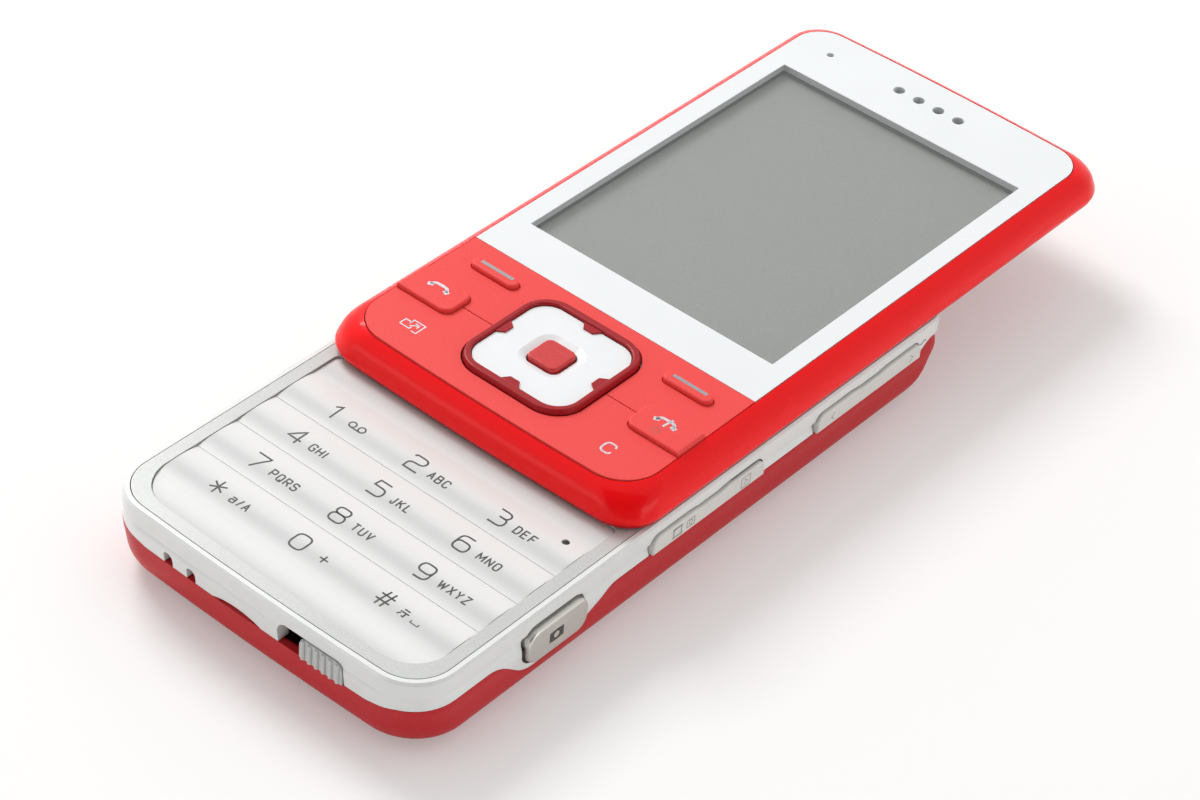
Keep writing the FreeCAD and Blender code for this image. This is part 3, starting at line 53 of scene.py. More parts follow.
# ---------------------------------------------------------------- camera, floor and light
CAMERA_PLACE = Vector((188.36, -238.50, 262.23))
CAMERA_AIM = Vector((9.06, -1.04, 16.0))
CAMERA_ROLL = math.radians(5.58)
CAMERA_LENS = 100.2
CAMERA_SENSOR = 36.0
CAMERA_NEAR = 10.0
CAMERA_FAR = 10000.0

FLOOR_SIZE = 4000.0
FLOOR_COLOUR = (0.95, 0.94, 0.93)
FLOOR_ROUGHNESS = 0.9
FLOOR_SHEEN = 0.1
FLOOR_BACKGROUND = 0.25     # share of plain white that the camera sees in the floor
HORIZON_LIGHT = 0.95
ZENITH_LIGHT = 0.76
ZENITH_HEIGHT = 0.9         # height on the unit sphere where the sky is at its dimmest

# The tent of light has one dim opening, towards this place, as wide and high as these tangents say.
OPENING_PLACE = Vector((188, -238, 250))
OPENING_HALF_WIDTH = 0.85
OPENING_HALF_HEIGHT = 0.62
OPENING_EDGE = 0.06
OPENING_SHADE = 0.80        # share of the light that is missing there

# place, aim, width, height (mm), strength (W per square metre)
SOFT_BOXES = (
    (Vector((-560, 200, 580)), Vector((0, 20, 10)), 330, 330, 38.5),
    (Vector((640, 60, 170)), Vector((10, -10, 10)), 480, 220, 5.0),
    (Vector((-260, -560, 120)), Vector((0, -20, 10)), 420, 160, 3.0),
)


def make_camera():
    data = bpy.data.cameras.new("camera")
    data.lens = CAMERA_LENS
    data.sensor_width = CAMERA_SENSOR
    data.clip_start = CAMERA_NEAR * MM
    data.clip_end = CAMERA_FAR * MM
    camera = bpy.data.objects.new("camera", data)
    bpy.context.scene.collection.objects.link(camera)
    camera.location = CAMERA_PLACE * MM
    camera.rotation_mode = "QUATERNION"
    look = (CAMERA_AIM - CAMERA_PLACE).to_track_quat("-Z", "Y")
    camera.rotation_quaternion = look @ Quaternion(Z_AXIS, CAMERA_ROLL)
    bpy.context.scene.camera = camera


def make_floor():
    half = FLOOR_SIZE / 2 * MM
    corners = [(-half, -half, 0), (half, -half, 0), (half, half, 0), (-half, half, 0)]
    data = bpy.data.meshes.new("floor")
    data.from_pydata(corners, [], [(0, 1, 2, 3)])
    floor = bpy.data.objects.new("floor", data)
    bpy.context.scene.collection.objects.link(floor)
    material = bpy.data.materials.new("floor")
    material.use_nodes = True
    tree = material.node_tree
    shader = tree.nodes["Principled BSDF"]
    shader.inputs["Base Color"].default_value = (*FLOOR_COLOUR, 1)
    shader.inputs["Roughness"].default_value = FLOOR_ROUGHNESS
    shader.inputs["Specular IOR Level"].default_value = FLOOR_SHEEN
    path = tree.nodes.new("ShaderNodeLightPath")
    share = tree.nodes.new("ShaderNodeMath")
    share.operation = "MULTIPLY"
    share.inputs[1].default_value = FLOOR_BACKGROUND
    tree.links.new(path.outputs["Is Camera Ray"], share.inputs[0])
    white = tree.nodes.new("ShaderNodeEmission")
    mix = tree.nodes.new("ShaderNodeMixShader")
    tree.links.new(share.outputs[0], mix.inputs[0])
    tree.links.new(shader.outputs[0], mix.inputs[1])
    tree.links.new(white.outputs[0], mix.inputs[2])
    tree.links.new(mix.outputs[0], tree.nodes["Material Output"].inputs["Surface"])
    data.materials.append(material)


def make_lights():
    for index, (place, aim, width, height, strength) in enumerate(SOFT_BOXES):
        data = bpy.data.lights.new("soft_box_%d" % index, "AREA")
        data.shape = "RECTANGLE"
        data.size = width * MM
        data.size_y = height * MM
        data.energy = strength * width * height * MM * MM
        light = bpy.data.objects.new(data.name, data)
        bpy.context.scene.collection.objects.link(light)
        light.location = place * MM
        light.rotation_mode = "QUATERNION"
        light.rotation_quaternion = (aim - place).to_track_quat("-Z", "Y")


def math_node(tree, operation, first, second):
    """A math node on an output and either a number or another output."""
    node = tree.nodes.new("ShaderNodeMath")
    node.operation = operation
    tree.links.new(first, node.inputs[0])
    if isinstance(second, float):
        node.inputs[1].default_value = second
    else:
        tree.links.new(second, node.inputs[1])
    return node.outputs[0]


def opening_light(tree, direction):
    """One outside the tent's opening, falling to what is left of the light inside it."""
    toward = OPENING_PLACE.normalized()
    across = toward.cross(Z_AXIS).normalized()
    upward = across.cross(toward)

    def along(axis):
        node = tree.nodes.new("ShaderNodeVectorMath")
        node.operation = "DOT_PRODUCT"
        tree.links.new(direction, node.inputs[0])
        node.inputs[1].default_value = axis
        return node.outputs["Value"]

    ahead = along(toward)
    inside = None
    for axis, limit in ((across, OPENING_HALF_WIDTH), (upward, OPENING_HALF_HEIGHT)):
        slope = math_node(tree, "DIVIDE", along(axis), math_node(tree, "MAXIMUM", ahead, 0.01))
        edge = tree.nodes.new("ShaderNodeMapRange")
        edge.interpolation_type = "SMOOTHSTEP"
        edge.inputs["From Min"].default_value = limit + OPENING_EDGE
        edge.inputs["From Max"].default_value = limit - OPENING_EDGE
        tree.links.new(math_node(tree, "ABSOLUTE", slope, 0.0), edge.inputs["Value"])
        if inside is None:
            inside = edge.outputs[0]
        else:
            inside = math_node(tree, "MULTIPLY", inside, edge.outputs[0])
    inside = math_node(tree, "MULTIPLY", inside, math_node(tree, "GREATER_THAN", ahead, 0.0))
    light = tree.nodes.new("ShaderNodeMapRange")
    light.inputs["To Min"].default_value = 1.0
    light.inputs["To Max"].default_value = 1.0 - OPENING_SHADE
    tree.links.new(inside, light.inputs["Value"])
    return light.outputs[0]


def make_world():
    world = bpy.data.worlds.new("world")
    bpy.context.scene.world = world
    world.use_nodes = True
    tree = world.node_tree
    background = tree.nodes["Background"]
    background.inputs["Color"].default_value = (1, 1, 1, 1)
    place = tree.nodes.new("ShaderNodeTexCoord")
    parts = tree.nodes.new("ShaderNodeSeparateXYZ")
    tree.links.new(place.outputs["Generated"], parts.inputs[0])
    level = tree.nodes.new("ShaderNodeMapRange")
    level.interpolation_type = "SMOOTHSTEP"
    level.inputs["From Max"].default_value = ZENITH_HEIGHT
    level.inputs["To Min"].default_value = HORIZON_LIGHT
    level.inputs["To Max"].default_value = ZENITH_LIGHT
    tree.links.new(parts.outputs["Z"], level.inputs["Value"])
    opening = opening_light(tree, place.outputs["Generated"])
    shaded = math_node(tree, "MULTIPLY", level.outputs[0], opening)
    path = tree.nodes.new("ShaderNodeLightPath")
    seen = math_node(tree, "MAXIMUM", path.outputs["Is Camera Ray"], shaded)
    tree.links.new(seen, background.inputs["Strength"])


# ---------------------------------------------------------------- materials
# The keypad's film has one soft wave of bump relief per row, and per row a painted band of light and
# shade in its colour, a painted reflection of the crowned rows.
ROW_PITCH = 6.2
ROW_BRIGHT_Y = -24.2        # where the painted band is lightest, and the relief tilts furthest towards the earpiece
ROW_RELIEF = 0.28
ROW_PAINTED_BAND_SHARES = (0.93, 1.05)   # of the plain colour, in its painted dark and light bands
RAMP_LOW = 0.3              # share of a pattern at which tint and wear start, and where they end
RAMP_HIGH = 0.7


class Finish:
    """A Principled material with helpers for grain, mottling and wear, in the object's own metres."""

    def __init__(self, name, colour, roughness, **sockets):
        self.material = bpy.data.materials.new(name)
        self.material.use_nodes = True
        self.tree = self.material.node_tree
        self.shader = self.tree.nodes["Principled BSDF"]
        self.shader.inputs["Base Color"].default_value = (*colour, 1)
        self.shader.inputs["Roughness"].default_value = roughness
        self.colour = colour
        self.normal = None
        for socket, value in sockets.items():
            self.shader.inputs[socket.replace("_", " ")].default_value = value

    def add(self, kind, **values):
        node = self.tree.nodes.new(kind)
        for socket, value in values.items():
            node.inputs[socket.replace("_", " ")].default_value = value
        return node

    def link(self, output, node, socket):
        self.tree.links.new(output, node.inputs[socket])

    def pattern(self, kind, size, stretch=(1, 1, 1), **values):
        """A procedural texture whose features are about size millimetres across."""
        place = self.add("ShaderNodeTexCoord")
        mapping = self.add("ShaderNodeMapping")
        mapping.inputs["Scale"].default_value = stretch
        self.link(place.outputs["Object"], mapping, "Vector")
        texture = self.add(kind, Scale=1 / (size * MM), **values)
        self.link(mapping.outputs[0], texture, "Vector")
        return texture

    def noise(self, size, stretch=(1, 1, 1), detail=3.0):
        return self.pattern("ShaderNodeTexNoise", size, stretch, Detail=detail).outputs["Fac"]

    def cells(self, size, stretch=(1, 1, 1)):
        return self.pattern("ShaderNodeTexVoronoi", size, stretch).outputs["Color"]

    def tint(self, share, dark, light):
        """Base colour that runs from dark to light times the plain colour."""
        ramp = self.add("ShaderNodeValToRGB")
        for stop, at, level in zip(ramp.color_ramp.elements, (RAMP_LOW, RAMP_HIGH), (dark, light)):
            stop.position = at
            stop.color = (*[min(c * level, 1) for c in self.colour], 1)
        self.link(share, ramp, "Fac")
        self.link(ramp.outputs["Color"], self.shader, "Base Color")

    def wear(self, share, low, high):
        """Roughness that runs from low to high."""
        level = self.add("ShaderNodeMapRange")
        level.inputs["From Min"].default_value = RAMP_LOW
        level.inputs["From Max"].default_value = RAMP_HIGH
        level.inputs["To Min"].default_value = low
        level.inputs["To Max"].default_value = high
        self.link(share, level, "Value")
        self.link(level.outputs[0], self.shader, "Roughness")

    def bump(self, height, strength, depth):
        """Relief of depth millimetres; a second call adds to the first."""
        relief = self.add("ShaderNodeBump", Strength=strength, Distance=depth * MM)
        self.link(height, relief, "Height")
        if self.normal is not None:
            self.link(self.normal, relief, "Normal")
        self.normal = relief.outputs["Normal"]
        self.link(self.normal, self.shader, "Normal")


def red_gloss(name):
    """Lacquered red with a fine flake under a clear coat."""
    finish = Finish(name, (0.96, 0.0025, 0.005), 0.34, Coat_Weight=0.22, Coat_Roughness=0.03,
                    Specular_IOR_Level=0.1)
    finish.tint(finish.cells(0.09), 0.97, 1.02)
    finish.wear(finish.noise(18), 0.26, 0.34)
    return finish


def red_satin(name):
    """Satin lacquer of the key plates, with a fine even grain."""
    finish = Finish(name, (0.85, 0.070, 0.064), 0.42, Specular_IOR_Level=0.2)
    finish.tint(finish.noise(0.25, detail=2.0), 0.95, 1.05)
    finish.bump(finish.noise(0.12, detail=2.0), 0.15, 0.015)
    finish.wear(finish.noise(6), 0.38, 0.46)
    return finish


def red_dark(name):
    """Deep red of the navigation ring."""
    finish = Finish(name, (0.36, 0.005, 0.010), 0.34, Coat_Weight=0.2, Coat_Roughness=0.15,
                    Specular_IOR_Level=0.2)
    finish.tint(finish.noise(0.5), 0.92, 1.08)
    finish.bump(finish.noise(0.15), 0.1, 0.015)
    return finish


def red_select(name):
    """Lighter red of the centre button."""
    finish = Finish(name, (0.62, 0.045, 0.045), 0.36, Coat_Weight=0.2, Coat_Roughness=0.2,
                    Specular_IOR_Level=0.2)
    finish.tint(finish.noise(0.5), 0.94, 1.06)
    finish.bump(finish.noise(0.15), 0.1, 0.015)
    return finish


def red_lip_painted_shade(name):
    """Darker copy of the bezel's red for the upper half's lower lip: painted shade under the upper
    half's edge.
    """
    finish = Finish(name, (0.58, 0.004, 0.008), 0.34, Coat_Weight=0.2, Coat_Roughness=0.1,
                    Specular_IOR_Level=0.1)
    finish.tint(finish.cells(0.09), 0.96, 1.03)
    return finish


def red_back(name):
    """Soft-touch red shell of the lower half."""
    finish = Finish(name, (0.54, 0.014, 0.020), 0.40, Coat_Weight=0.15, Coat_Roughness=0.22,
                    Specular_IOR_Level=0.2)
    finish.tint(finish.noise(0.3, detail=2.0), 0.93, 1.06)
    finish.bump(finish.noise(0.14), 0.14, 0.015)
    finish.wear(finish.noise(12), 0.34, 0.44)
    return finish


def white_gloss(name):
    """Pearl white under a clear coat."""
    finish = Finish(name, (0.83, 0.85, 0.86), 0.24, Coat_Weight=0.6, Coat_Roughness=0.04)
    finish.tint(finish.noise(9), 0.985, 1.015)
    finish.wear(finish.noise(14), 0.20, 0.28)
    return finish


def white_pad(name):
    finish = Finish(name, (0.84, 0.85, 0.86), 0.3, Coat_Weight=0.3, Coat_Roughness=0.15)
    finish.tint(finish.noise(3), 0.985, 1.01)
    return finish


def clear_glass(name, colour, alpha):
    finish = Finish(name, colour, 0.04, Alpha=alpha, IOR=1.5)
    finish.wear(finish.noise(16), 0.03, 0.07)
    return finish


def window_glass(name):
    return clear_glass(name, (0.35, 0.36, 0.35), 0.22)


def lens_glass(name):
    return clear_glass(name, (0.02, 0.02, 0.03), 0.45)


def flash_glass(name):
    finish = clear_glass(name, (0.8, 0.8, 0.75), 0.45)
    wave = finish.pattern("ShaderNodeTexWave", 4.5, Detail=0.0).outputs["Fac"]
    finish.bump(wave, 0.6, 0.1)
    return finish


def lcd(name):
    """Unlit display: grey with the fine grain of its cells."""
    finish = Finish(name, (0.46, 0.475, 0.455), 0.5)
    finish.tint(finish.noise(0.35, detail=4.0), 0.93, 1.07)
    return finish


def plain_dark(name, colour, roughness):
    finish = Finish(name, colour, roughness)
    finish.tint(finish.noise(1.5), 0.8, 1.2)
    finish.bump(finish.noise(0.2), 0.2, 0.02)
    return finish


def black_plastic(name):
    return plain_dark(name, (0.018, 0.018, 0.018), 0.5)


def inner_plastic(name):
    return plain_dark(name, (0.06, 0.06, 0.065), 0.6)


def rubber(name):
    return plain_dark(name, (0.02, 0.02, 0.02), 0.8)


def mesh(name):
    """Woven dark metal cloth."""
    finish = Finish(name, (0.012, 0.012, 0.013), 0.4, Metallic=0.5)
    weave = finish.pattern("ShaderNodeTexChecker", 0.12)
    finish.bump(weave.outputs["Fac"], 0.6, 0.03)
    finish.tint(weave.outputs["Fac"], 0.5, 1.5)
    return finish


def sensor(name):
    finish = Finish(name, (0.02, 0.02, 0.03), 0.12, Coat_Weight=1.0, Coat_Roughness=0.03)
    finish.tint(finish.noise(0.5), 0.8, 1.3)
    return finish


def circuit_board(name):
    finish = Finish(name, (0.02, 0.12, 0.05), 0.35, Coat_Weight=0.3)
    finish.tint(finish.cells(1.2), 0.7, 1.4)
    finish.bump(finish.cells(0.8), 0.3, 0.03)
    return finish


def silicone(name):
    finish = Finish(name, (0.62, 0.62, 0.60), 0.55, Subsurface_Weight=0.1, Subsurface_Scale=0.001)
    finish.tint(finish.noise(2), 0.95, 1.04)
    return finish


def brushed(name, colour, roughness, stretch):
    """Steel sheet with a fine rolling grain along one direction."""
    finish = Finish(name, colour, roughness, Metallic=1.0)
    grain = finish.noise(0.25, stretch, detail=4.0)
    finish.tint(grain, 0.85, 1.1)
    finish.bump(grain, 0.12, 0.02)
    finish.wear(finish.noise(3), roughness - 0.06, roughness + 0.08)
    return finish


def dome_steel(name):
    return brushed(name, (0.62, 0.62, 0.60), 0.3, (1, 0.1, 1))


def slide_steel(name):
    return brushed(name, (0.46, 0.47, 0.48), 0.32, (1, 0.06, 1))


def screw_steel(name):
    return brushed(name, (0.16, 0.16, 0.17), 0.35, (1, 0.4, 1))


def spring_steel(name):
    return brushed(name, (0.55, 0.55, 0.54), 0.25, (0.3, 1, 1))


def shield_steel(name):
    return brushed(name, (0.60, 0.60, 0.58), 0.4, (0.1, 1, 1))


def shutter_metal(name):
    return brushed(name, (0.08, 0.08, 0.085), 0.45, (0.2, 1, 1))


def flex_film(name):
    """Amber film with copper tracks along it."""
    finish = Finish(name, (0.45, 0.20, 0.04), 0.35, Coat_Weight=0.4)
    tracks = finish.pattern("ShaderNodeTexWave", 2.2, Detail=0.0).outputs["Fac"]
    finish.tint(tracks, 0.6, 1.3)
    return finish


def frame_white(name):
    """Satin white moulding of the lower half's frame."""
    finish = Finish(name, (0.79, 0.80, 0.785), 0.36, Coat_Weight=0.2, Coat_Roughness=0.15)
    finish.tint(finish.noise(5), 0.98, 1.015)
    finish.bump(finish.noise(0.15), 0.08, 0.01)
    return finish


def deck_grey(name):
    """Pearl grey lacquer on the sheet round the keypad."""
    finish = Finish(name, (0.55, 0.56, 0.545), 0.36, Metallic=0.1, Coat_Weight=0.2, Coat_Roughness=0.15)
    finish.tint(finish.cells(0.12), 0.95, 1.05)
    finish.wear(finish.noise(10), 0.28, 0.38)
    return finish


def keypad_silver(name):
    """Pearl silver film with a soft bump relief along the crowned rows, and painted light and shade
    bands in its colour.
    """
    finish = Finish(name, (0.765, 0.77, 0.76), 0.42, Coat_Weight=0.1, Coat_Roughness=0.25,
                    Specular_IOR_Level=0.15)
    finish.wear(finish.noise(8), 0.42, 0.48)
    place = finish.add("ShaderNodeTexCoord")
    parts = finish.add("ShaderNodeSeparateXYZ")
    finish.link(place.outputs["Object"], parts, "Vector")
    turn = math_node(finish.tree, "MULTIPLY", parts.outputs["Y"], 2 * math.pi / (ROW_PITCH * MM))
    turn = math_node(finish.tree, "ADD", turn, -2 * math.pi * ROW_BRIGHT_Y / ROW_PITCH)
    wave = math_node(finish.tree, "SINE", turn, 0.0)
    finish.bump(math_node(finish.tree, "MULTIPLY", wave, -1.0), 1.0, ROW_RELIEF)
    # Painted reflection: the base colour goes lighter and darker along each row, in step with the
    # relief.
    painted_band = math_node(finish.tree, "COSINE", turn, 0.0)
    painted_band = math_node(finish.tree, "MULTIPLY", painted_band, (RAMP_HIGH - RAMP_LOW) / 2)
    finish.tint(math_node(finish.tree, "ADD", painted_band, (RAMP_HIGH + RAMP_LOW) / 2), *ROW_PAINTED_BAND_SHARES)
    return finish


def battery_wrap(name):
    finish = Finish(name, (0.10, 0.105, 0.115), 0.45)
    finish.tint(finish.noise(4), 0.9, 1.15)
    finish.bump(finish.noise(2.5), 0.1, 0.05)
    return finish


def contact_gold(name):
    return brushed(name, (0.78, 0.55, 0.20), 0.25, (1, 0.3, 1))


def lens_chrome(name):
    return brushed(name, (0.72, 0.72, 0.73), 0.12, (1, 1, 0.2))


def lever_grey(name):
    finish = Finish(name, (0.56, 0.575, 0.56), 0.42, Coat_Weight=0.15)
    finish.tint(finish.noise(0.8), 0.95, 1.03)
    finish.bump(finish.noise(0.12), 0.15, 0.012)
    return finish


def silver_key(name):
    """Silver lacquer with a fine flake."""
    finish = Finish(name, (0.68, 0.67, 0.62), 0.28, Metallic=0.75, Coat_Weight=0.5, Coat_Roughness=0.08)
    finish.tint(finish.cells(0.08), 0.93, 1.06)
    return finish


def side_key(name):
    finish = Finish(name, (0.72, 0.715, 0.675), 0.36, Coat_Weight=0.25, Coat_Roughness=0.15)
    finish.tint(finish.noise(1.5), 0.98, 1.01)
    finish.bump(finish.noise(0.12), 0.08, 0.01)
    return finish


FINISHES = (
    red_gloss, red_satin, red_dark, red_back, white_gloss, white_pad, window_glass, lens_glass,
    flash_glass, lcd, black_plastic, inner_plastic, rubber, mesh, sensor, circuit_board, silicone,
    dome_steel, slide_steel, screw_steel, spring_steel, shield_steel, shutter_metal, flex_film,
    frame_white, deck_grey, keypad_silver, battery_wrap, contact_gold, lens_chrome, lever_grey,
    silver_key, side_key,
)


def dress_nodes():
    """Each CAD node takes the finish of its own material slot, and the centre button a lighter red."""
    finishes = {make.__name__: make(make.__name__).material for make in FINISHES}
    for part in frame["record"]["subparts"]:
        data = nodes[part["node"]].data
        data.materials.clear()
        data.materials.append(finishes[part["material_slot"]])
    nodes["select_button"].data.materials[0] = red_select("red_select").material


# ---------------------------------------------------------------- printed marks
FACE_REACH = 60.0           # rays to a face start this far out


def add_piece(name, points, faces, material, body):
    """A piece that isn't in the CAD: its mesh is in the frame's metres and rides on a body."""
    data = bpy.data.meshes.new(name)
    data.from_pydata(points, [], faces)
    data.materials.append(material)
    data.validate()
    piece = bpy.data.objects.new(name, data)
    bpy.context.scene.collection.objects.link(piece)
    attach(piece, body)


class Face:
    """A node's surface seen along its outward direction; marks are laid on it in millimetres."""

    def __init__(self, node, right, up):
        data = nodes[node].data
        self.tree = BVHTree.FromPolygons(
            [v.co.copy() for v in data.vertices], [list(p.vertices) for p in data.polygons])
        self.right = right
        self.up = up
        self.out = right.cross(up)

    def point(self, u, v, lift):
        start = (self.right * u + self.up * v + self.out * FACE_REACH) * MM
        hit = self.tree.ray_cast(start, -self.out)[0]
        if hit is None:
            hit = self.tree.find_nearest(start)[0]
            height = hit.dot(self.out)
            hit = (self.right * u + self.up * v) * MM + self.out * height
        return hit + self.out * lift * MM


CORNER_STEPS = 5
CIRCLE_STEPS = 20
RUN = 0.5                   # longest straight piece of a stroke, so that it follows a curved face
SHORTEST_RUN = 1e-4
INK = 0.012                 # how far a mark stands on its surface
INK_DEPTH = 0.03            # and how far it goes below
SHARPEST_MITRE = 0.6        # keeps a stroke's corners from growing without end


def round_corners(points):
    """Points are (x, y) or (x, y, radius); returns a plain list with its corners rounded."""
    closed = points[0][:2] == points[-1][:2]
    flat = [Vector(p[:2]) for p in points]
    radii = [p[2] if len(p) > 2 else 0.0 for p in points]
    if closed:
        flat = flat[:-1]
        radii = radii[:-1]
    path = []
    count = len(flat)
    for i in range(count):
        inner = closed or 0 < i < count - 1
        if radii[i] <= 0 or not inner:
            path.append(flat[i])
            continue
        before = flat[(i - 1) % count] - flat[i]
        after = flat[(i + 1) % count] - flat[i]
        cut_before = min(radii[i], before.length * 0.5)
        cut_after = min(radii[i], after.length * 0.5)
        start = flat[i] + before.normalized() * cut_before
        end = flat[i] + after.normalized() * cut_after
        for step in range(CORNER_STEPS + 1):
            t = step / CORNER_STEPS
            path.append(start * (1 - t) ** 2 + flat[i] * 2 * t * (1 - t) + end * t ** 2)
    return path, closed


def split_runs(path, closed):
    """Adds points so that no run is longer than RUN and drops those that coincide."""
    result = []
    ends = path[1:] + path[:1] if closed else path[1:]
    for start, end in zip(path, ends):
        length = (end - start).length
        if length < SHORTEST_RUN:
            continue
        parts = max(1, math.ceil(length / RUN))
        result += [start + (end - start) * i / parts for i in range(parts)]
    if not closed:
        result.append(path[-1])
    return result


class Marks:
    """Collects strokes into one mesh, then links it as a piece that rides on a body."""

    def __init__(self, face):
        self.face = face
        self.points = []
        self.faces = []

    def stroke(self, points, width):
        path, closed = round_corners(points)
        path = split_runs(path, closed)
        count = len(path)
        first = len(self.points)
        for i, p in enumerate(path):
            before = path[i - 1] if i or closed else p * 2 - path[1]
            after = path[(i + 1) % count] if i < count - 1 or closed else p * 2 - path[-2]
            ahead = (after - p).normalized()
            behind = (p - before).normalized()
            along = (ahead + behind).normalized()
            side = Vector((-along.y, along.x))
            half = width / 2 / max(abs(along.dot(ahead)), SHARPEST_MITRE)
            for sign in (1, -1):
                q = p + side * half * sign
                for lift in (INK, -INK_DEPTH):
                    self.points.append(self.face.point(q.x, q.y, lift))
        for i in range(count if closed else count - 1):
            a = first + 4 * i
            b = first + 4 * ((i + 1) % count)
            for j, k in ((0, 2), (2, 3), (3, 1), (1, 0)):
                self.faces.append((a + j, a + k, b + k, b + j))
        if not closed:
            last = first + 4 * (count - 1)
            self.faces.append((first, first + 1, first + 3, first + 2))
            self.faces.append((last, last + 2, last + 3, last + 1))

    def strokes(self, shapes, at, size, width):
        """Strokes given in a unit box, drawn with that box's centre at the point at."""
        for shape in shapes:
            placed = []
            for p in shape:
                x = at[0] + (p[0] - 0.5) * size[0]
                y = at[1] + (p[1] - 0.5) * size[1]
                placed.append((x, y, p[2] * min(size)) if len(p) > 2 else (x, y))
            self.stroke(placed, width)

    def text(self, words, at, size, gap, width):
        """One line of stroked letters, centred on the point at."""
        pitch = size[0] + gap
        for i, letter in enumerate(words):
            x = at[0] + (i - (len(words) - 1) / 2) * pitch
            self.strokes(GLYPHS[letter], (x, at[1]), size, width)

    def line(self, words, left, y, size, gap, width):
        """One line of letters that starts at left, each as wide as its share says."""
        for letter in words:
            across = size[0] * LETTER_SHARES.get(letter, 1.0)
            self.strokes(GLYPHS[letter], (left + across / 2, y), (across, size[1]), width)
            left += across + gap

    def circle(self, centre, radius, width):
        turn = 2 * math.pi / CIRCLE_STEPS
        rim = [(centre[0] + radius * math.cos(i * turn), centre[1] + radius * math.sin(i * turn))
               for i in range(CIRCLE_STEPS)]
        self.stroke(rim + rim[:1], width)

    def piece(self, name, body, slot, material):
        add_piece(name, self.points, self.faces, material, body)


def ring(x0, y0, x1, y1, r):
    """A closed rectangle with rounded corners."""
    return [(x0, y0, r), (x1, y0, r), (x1, y1, r), (x0, y1, r), (x0, y0, r)]


